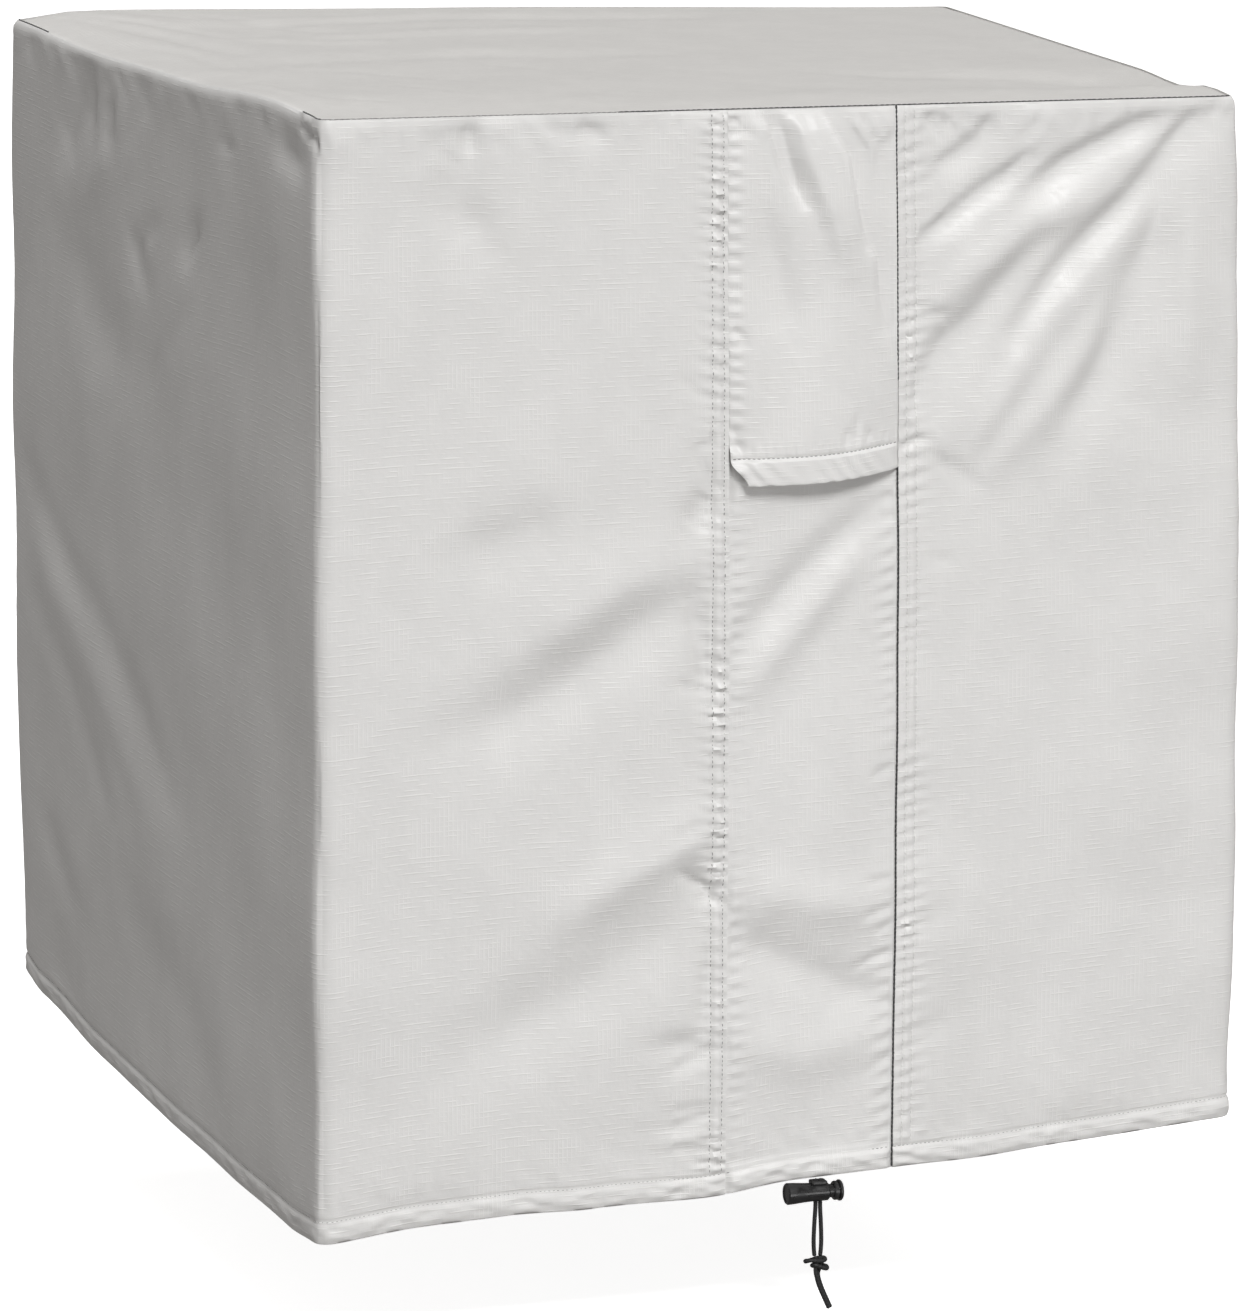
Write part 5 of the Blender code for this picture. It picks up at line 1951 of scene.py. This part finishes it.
@dataclass
class TopPanel:
    """The top cloth, its edge turned down inside the walls."""

    finish: RipstopFinish = RipstopFinish("top_ripstop", Tone.TOP.value)
    lattice: int = 96
    edge_share: float = 0.028
    crowding: float = 0.055
    valley_in: float = 0.0022
    strip_from: tuple = (0.308, 0.320)
    strip_to: tuple = (0.484, 0.496)
    turned_rows: tuple = (
        (SIZES.turned_edge, 0.0), (0.009, 0.0), (0.005, 0.0), (0.0026, 0.0002), (0.0012, 0.0010),
    )
    valley_rows: tuple = ((0.0, 0.00035), (0.30, 0.0001), (0.65, 0.0), (1.0, 0.0))

    def height(self, u: Array, v: Array) -> Array:
        """How high the panel lies at a share u to the right and v to the back, in metres.

        Args:
            u: Shares of the way to the right, from 0 to 1.
            v: Shares of the way to the back.

        Returns:
            The height at each place.
        """
        width, girth = SIZES.width, SIZES.girth
        places = (u * width, width + v * width, 2 * width + (1 - u) * width, girth - v * width)
        front, right, back, left = (RIM_DROP.at(g / MM) for g in places)
        drop = front * (1 - v) + back * v + left * (1 - u) + right * u
        inner = np.minimum(np.minimum(u, v), np.minimum(1 - u, 1 - v))
        held = np.minimum(1.0, 12 * inner)
        across, back_mm = u * width / MM, v * width / MM
        height = folds(TOP_MAIN + TOP_FINE, across, back_mm) * held
        height = height + SIDE_SLACK.at(across, back_mm) * 0.7 * held
        height = height + CRUMPLE.at(across, back_mm) * 0.5 * held
        return (height - drop) * MM

    def point(self, u: Array, v: Array, drop: float) -> Array:
        """Points of the panel, "drop" metres below its outer face.

        Args:
            u: Shares of the way to the right, from 0 to 1.
            v: Shares of the way to the back.
            drop: How far below the outer face.

        Returns:
            One point for each place.
        """
        zero = np.zeros_like(u)
        corners = [FORM.corner(np.full(np.shape(u), k), zero) for k in range(4)]
        front = corners[0] + (corners[1] - corners[0]) * u[..., None]
        back = corners[3] + (corners[2] - corners[3]) * u[..., None]
        place = front + (back - front) * v[..., None]
        place[..., 2] += self.height(u, v) - drop
        return place

    def side_points(self, shares: Array, shrink: float) -> tuple:
        """The shares (u, v) of a square ring, in order along the girth.

        Args:
            shares: Places along one side, from 0 to 1.
            shrink: The ring's side, as a share of the panel's.

        Returns:
            The shares u and v.
        """
        low, high = 0.5 - shrink / 2, 0.5 + shrink / 2
        way = low + (high - low) * shares
        flat, full = np.full_like(way, low), np.full_like(way, high)
        u = np.concatenate([way, full, low + high - way, flat])
        v = np.concatenate([flat, way, full, low + high - way])
        return u, v

    def rings(self, shares: Array, depth_in: float) -> list:
        """The rings from the turned edge's foot up over the rim, from the outside in.

        Args:
            shares: Places along one side, from 0 to 1.
            depth_in: How far below the outer face.

        Returns:
            The points of each ring.
        """
        width = SIZES.width
        along = np.concatenate([k * width + shares * width for k in range(4)])
        over = smooth_step(*self.strip_from, along) * (1 - smooth_step(*self.strip_to, along))
        inset = SIZES.layer * (1 + over)
        found = []
        for down, inward in self.turned_rows:
            roll = rim_roll(along, np.full_like(along, down))
            out = -inset - inward - depth_in - roll
            found.append(FORM.wall_point(along, down + depth_in * 0.6, out))
        roll = rim_roll(along, np.zeros_like(along))
        rim = FORM.wall_point(along, 0.0, -inset - self.valley_in - roll)
        u, v = self.side_points(shares, 1 - 2 * self.edge_share)
        inside = self.point(u, v, depth_in)
        for share, sink in self.valley_rows:
            ring = rim + (inside - rim) * share
            ring[..., 2] = ring[..., 2] - (sink + depth_in) * (1 - share)
            found.append(ring)
        return found

    def build(self) -> Piece:
        """Returns:
            The new piece.
        """
        count = self.lattice
        even = np.linspace(0, 1, count + 1)
        shares = even - self.crowding * np.sin(TURN * even)
        ring_shares = shares[:-1]
        low = self.edge_share
        lines = low + (1 - 2 * low) * shares
        points, faces, uvs = [], [], []
        for depth_in, turned in ((0.0, False), (SIZES.cloth, True)):
            base = len(points)
            rings = self.rings(ring_shares, depth_in)
            size = len(rings[0])
            u, v = np.meshgrid(lines, lines, indexing="ij")
            sheet = self.point(u, v, depth_in)
            for ring in rings[:-1]:
                points.extend(ring.tolist())
                uvs.extend((p[0], p[1] + (p[2] - SIZES.top_rise) * 0.7) for p in ring)
            start = len(points)
            points.extend(sheet.reshape(-1, 3).tolist())
            uvs.extend((p[0], p[1]) for p in sheet.reshape(-1, 3))
            border = [(a, 0) for a in range(count)] + [(count, b) for b in range(count)]
            border += [(count - a, count) for a in range(count)]
            border += [(0, count - b) for b in range(count)]
            loops = [
                [base + r * size + k for k in range(size)] for r in range(len(rings) - 1)
            ]
            loops.append([start + a * (count + 1) + b for a, b in border])
            for first, second in zip(loops, loops[1:]):
                faces += ring_faces(first, second, turned)
            for a in range(count):
                for b in range(count):
                    i = start + a * (count + 1) + b
                    ring = [i, i + count + 1, i + count + 2, i + 1]
                    faces.append(ring[::-1] if turned else ring)
            if turned:
                for k in range(size):
                    m = (k + 1) % size
                    faces.append([m, k, base + k, base + m])
        piece = cloth_object("rim_top_cloth", points, faces, uvs)
        piece.data.materials.append(self.finish.make())
        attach(piece, COVER)
        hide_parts("top_panel")
        return piece


# Sewing


class StitchTree:
    """A node tree that sets stitches along a line, with named inputs for its sizes."""

    INPUTS = (
        ("Stitch pitch", 0.0036), ("Stitch length", 0.0027), ("Thread radius", 0.00042),
        ("Wobble", 0.10),
    )
    BALL = (("Segments", 6), ("Rings", 4), ("Radius", 1.0))

    def __init__(self, name: str, material: bpy.types.Material) -> None:
        """Builds the tree for one kind of thread.

        Args:
            name: The tree's name.
            material: The thread's finish.
        """
        tree = bpy.data.node_groups.new(name, "GeometryNodeTree")
        face = tree.interface
        face.new_socket("Geometry", in_out="INPUT", socket_type="NodeSocketGeometry")
        for label, value in self.INPUTS:
            socket = face.new_socket(label, in_out="INPUT", socket_type="NodeSocketFloat")
            socket.default_value = value
        face.new_socket("Seed", in_out="INPUT", socket_type="NodeSocketInt").default_value = 3
        face.new_socket("Geometry", in_out="OUTPUT", socket_type="NodeSocketGeometry")
        add, join = tree.nodes.new, tree.links.new
        given, out = add("NodeGroupInput"), add("NodeGroupOutput")
        line = add("GeometryNodeMeshToCurve")
        spaced = add("GeometryNodeCurveToPoints")
        spaced.mode = "LENGTH"
        join(given.outputs["Geometry"], line.inputs["Mesh"])
        join(line.outputs["Curve"], spaced.inputs["Curve"])
        join(given.outputs["Stitch pitch"], spaced.inputs["Length"])
        ball = add("GeometryNodeMeshUVSphere")
        for label, value in self.BALL:
            ball.inputs[label].default_value = value
        half = add("ShaderNodeMath")
        half.operation = "MULTIPLY"
        half.inputs[1].default_value = 0.5
        join(given.outputs["Stitch length"], half.inputs[0])
        size = add("ShaderNodeCombineXYZ")
        join(given.outputs["Thread radius"], size.inputs["X"])
        join(given.outputs["Thread radius"], size.inputs["Y"])
        join(half.outputs[0], size.inputs["Z"])
        random = add("FunctionNodeRandomValue")
        random.data_type = "FLOAT_VECTOR"
        join(given.outputs["Seed"], random.inputs["Seed"])
        for way, end in ((-1.0, "Min"), (1.0, "Max")):
            limit = add("ShaderNodeVectorMath")
            limit.operation = "SCALE"
            limit.inputs[0].default_value = (way, way, way)
            join(given.outputs["Wobble"], limit.inputs["Scale"])
            join(limit.outputs[0], random.inputs[end])
        place = add("GeometryNodeInstanceOnPoints")
        join(spaced.outputs["Points"], place.inputs["Points"])
        join(ball.outputs["Mesh"], place.inputs["Instance"])
        join(spaced.outputs["Rotation"], place.inputs["Rotation"])
        join(size.outputs[0], place.inputs["Scale"])
        turn = add("GeometryNodeRotateInstances")
        join(place.outputs["Instances"], turn.inputs["Instances"])
        join(random.outputs["Value"], turn.inputs["Rotation"])
        real = add("GeometryNodeRealizeInstances")
        join(turn.outputs["Instances"], real.inputs["Geometry"])
        smooth = add("GeometryNodeSetShadeSmooth")
        join(real.outputs["Geometry"], smooth.inputs["Geometry"])
        dress = add("GeometryNodeSetMaterial")
        dress.inputs["Material"].default_value = material
        join(smooth.outputs["Geometry"], dress.inputs["Geometry"])
        join(dress.outputs["Geometry"], out.inputs["Geometry"])
        self.tree = tree

    def sew(self, name: str, lines: list, sizes: dict) -> Piece:
        """Sews along lines and returns the stitches as a plain mesh.

        Args:
            name: The piece's name.
            lines: Arrays of points, one for each row of stitches.
            sizes: Values for the tree's named inputs.

        Returns:
            The new object.
        """
        points, edges = [], []
        for line in lines:
            start = len(points)
            points.extend(tuple(p) for p in line)
            edges.extend((start + k, start + k + 1) for k in range(len(line) - 1))
        mesh = bpy.data.meshes.new(name + "_line")
        mesh.from_pydata(points, edges, [])
        holder = placed(name + "_line", mesh)
        modifier = holder.modifiers.new("Sew", "NODES")
        modifier.node_group = self.tree
        names = {
            item.name: item.identifier
            for item in self.tree.interface.items_tree
            if item.item_type == "SOCKET" and item.in_out == "INPUT"
        }
        for label, value in sizes.items():
            modifier[names[label]] = value
        graph = bpy.context.evaluated_depsgraph_get()
        sewn = bpy.data.meshes.new_from_object(holder.evaluated_get(graph))
        sewn.name = name
        holder.modifiers.remove(modifier)
        bpy.data.objects.remove(holder)
        return placed(name, sewn)


@dataclass
class Sewing:
    """Every row of stitches that shows; the threads in the rim valley are also painted shade for
    that valley.
    """

    pale: ThreadFinish = ThreadFinish("pale_thread", Tone.PALE_THREAD.value)
    grey: ThreadFinish = ThreadFinish("grey_thread_and_rim_shade", Tone.GREY_THREAD_AND_RIM_SHADE.value)
    dark: ThreadFinish = ThreadFinish("dark_thread_and_rim_shade", Tone.DARK_THREAD_AND_RIM_SHADE.value)
    lift: float = 0.0001
    rim_in: float = 0.0016
    rim_up: float = 0.0003
    upright_pitch: float = 0.002
    level_pitch: float = 0.003
    valley_side: float = 0.0004
    valley_runs: tuple = ((0.001, 0.207, -0.0002), (0.274, 0.811, -0.0006))
    # The rim seam's threads on the girth: dark on the front's right part and at the left wall's
    # two ends, grey on the front's left part. They lie in the valley between the wall and the top
    # and are partly real stitching, partly painted shade for that valley.
    rim_painted_shade_runs: tuple = ((0.246, SIZES.width - 0.004), (2.290, 2.376), (3.004, 3.045))
    rim_grey_painted_shade_run: tuple = (0.004, 0.244)

    def upright(self, along: float, start: float, end: float, out: float) -> Array:
        """A row of stitches down the wall.

        Args:
            along: Its place on the girth.
            start: Where it starts under the top seam.
            end: Where it ends.
            out: How far outside the wall it lies.

        Returns:
            The points of the line.
        """
        down = np.arange(start, end, self.upright_pitch)
        place = np.full_like(down, along)
        seam = RIGHT_SEAM_RELIEF if along > SIZES.strip_middle else LEFT_SEAM_RELIEF
        return FORM.wall_point(place, down, seam.at(place, down) + out)

    def level(self, start: float, end: float, down: float, out: float) -> Array:
        # The grey and dark threads also paint shade: laid in the rim valley, they stand for the
        # rim seam's stitches and for the shade between the wall and the top.
        """A row of stitches round the wall at one depth.

        Args:
            start: Where it starts on the girth.
            end: Where it ends.
            down: Its depth under the top seam.
            out: How far outside the wall it lies.

        Returns:
            The points of the line.
        """
        along = np.arange(start, end, self.level_pitch)
        depth = np.full_like(along, down)
        return FORM.wall_point(along, depth, HEM.outer(along, depth) + out)

    def finish_piece(self, piece: Piece) -> Piece:
        """Lets a row of stitches ride on the cover.

        Args:
            piece: The stitches.

        Returns:
            The same piece.
        """
        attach(piece, COVER)
        return piece

    def build(self) -> list:
        """Sews the seams, the hem, the flap and the rim.

        Returns:
            The pieces of stitching.
        """
        pale = StitchTree("pale_stitches", self.pale.make())
        grey = StitchTree("grey_and_rim_shade_stitches", self.grey.make())
        dark = StitchTree("dark_and_rim_shade_stitches", self.dark.make())
        left, right = SIZES.left_seam, SIZES.right_seam
        fine = {"Thread radius": 0.00038, "Stitch length": 0.0026}
        sewn = (SIZES.sewn_from, SIZES.sewn_to, self.lift)
        rows = [self.upright(left - r * MM, *sewn) for r in LEFT_SEAM_RELIEF.rows]
        pieces = [grey.sew("left_seam_stitches", rows, {**fine, "Seed": 4})]
        rows = [self.upright(right + r * MM, *sewn) for r in RIGHT_SEAM_RELIEF.rows]
        pieces.append(pale.sew("right_seam_stitches", rows, {"Seed": 6}))
        top = SIZES.height - SIZES.hem_height
        hem = [self.level(right + 0.002, SIZES.girth + left - 0.002, top, self.lift)]
        strip_along = np.arange(left + 0.003, right - 0.003, self.level_pitch)
        strip_down = np.full_like(strip_along, top)
        strip_out = HEM.outer(strip_along, strip_down) - SIZES.layer * 0.2
        hem.append(FORM.wall_point(strip_along, strip_down, strip_out))
        pieces.append(grey.sew("hem_stitches", hem, {**fine, "Seed": 9}))
        share = np.linspace(0.02, 0.98, 70)
        row = np.full_like(share, SIZES.flap_length - SIZES.flap_hem)
        flap = VentFlap().point(share, row, np.full_like(share, self.lift))
        pieces.append(grey.sew("flap_hem_stitches", [flap], {**fine, "Seed": 12}))
        for piece in pieces[:3]:
            self.finish_piece(piece)
        self.finish_piece(pieces[3])
        valley = [self.upright(right - self.valley_side, *run) for run in self.valley_runs]
        sizes = {"Stitch pitch": 0.0036, "Stitch length": 0.0046, "Thread radius": 0.0009}
        seam = dark.sew("right_seam_valley_thread", valley, {**sizes, "Wobble": 0.12})
        pieces.append(self.finish_piece(seam))
        # Dark and grey threads in the rim valley: the rim seam's stitches, and painted shade
        # between the wall and the top.
        rims = [self.rim_line(start, end) for start, end in self.rim_painted_shade_runs]
        sizes = {"Stitch pitch": 0.0044, "Stitch length": 0.0056, "Thread radius": 0.0007}
        seam = dark.sew("rim_valley_thread", rims, {**sizes, "Wobble": 0.05})
        pieces.append(self.finish_piece(seam))
        seam = grey.sew("rim_pale_thread", [self.rim_line(*self.rim_grey_painted_shade_run)],
                        {**sizes, "Thread radius": 0.0004})
        pieces.append(self.finish_piece(seam))
        return pieces

    def rim_line(self, start: float, end: float) -> Array:
        """The seam in the valley between the rim and the top.

        Args:
            start: Where it starts on the girth.
            end: Where it ends.

        Returns:
            The points of the line.
        """
        along = np.arange(start, end, self.level_pitch)
        roll = rim_roll(along, np.zeros_like(along))
        line = FORM.wall_point(along, 0.0, -self.rim_in - roll)
        line[:, 2] += self.rim_up
        return line


# The whole cover


def main() -> None:
    """Builds the studio, the cords, the lock, the cloth and the sewing, in that order."""
    logging.basicConfig(level=logging.INFO, format="%(name)s: %(message)s")
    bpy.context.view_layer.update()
    Studio().build()
    for kind in (Drawcord, CordLock, WallBand, CentreStrip, VentFlap, TopPanel, Sewing):
        made = kind().build()
        for piece in made if isinstance(made, list) else [made]:
            LOG.info("%s: %d faces", piece.name, len(piece.data.polygons))


if __name__ == "__main__":
    main()
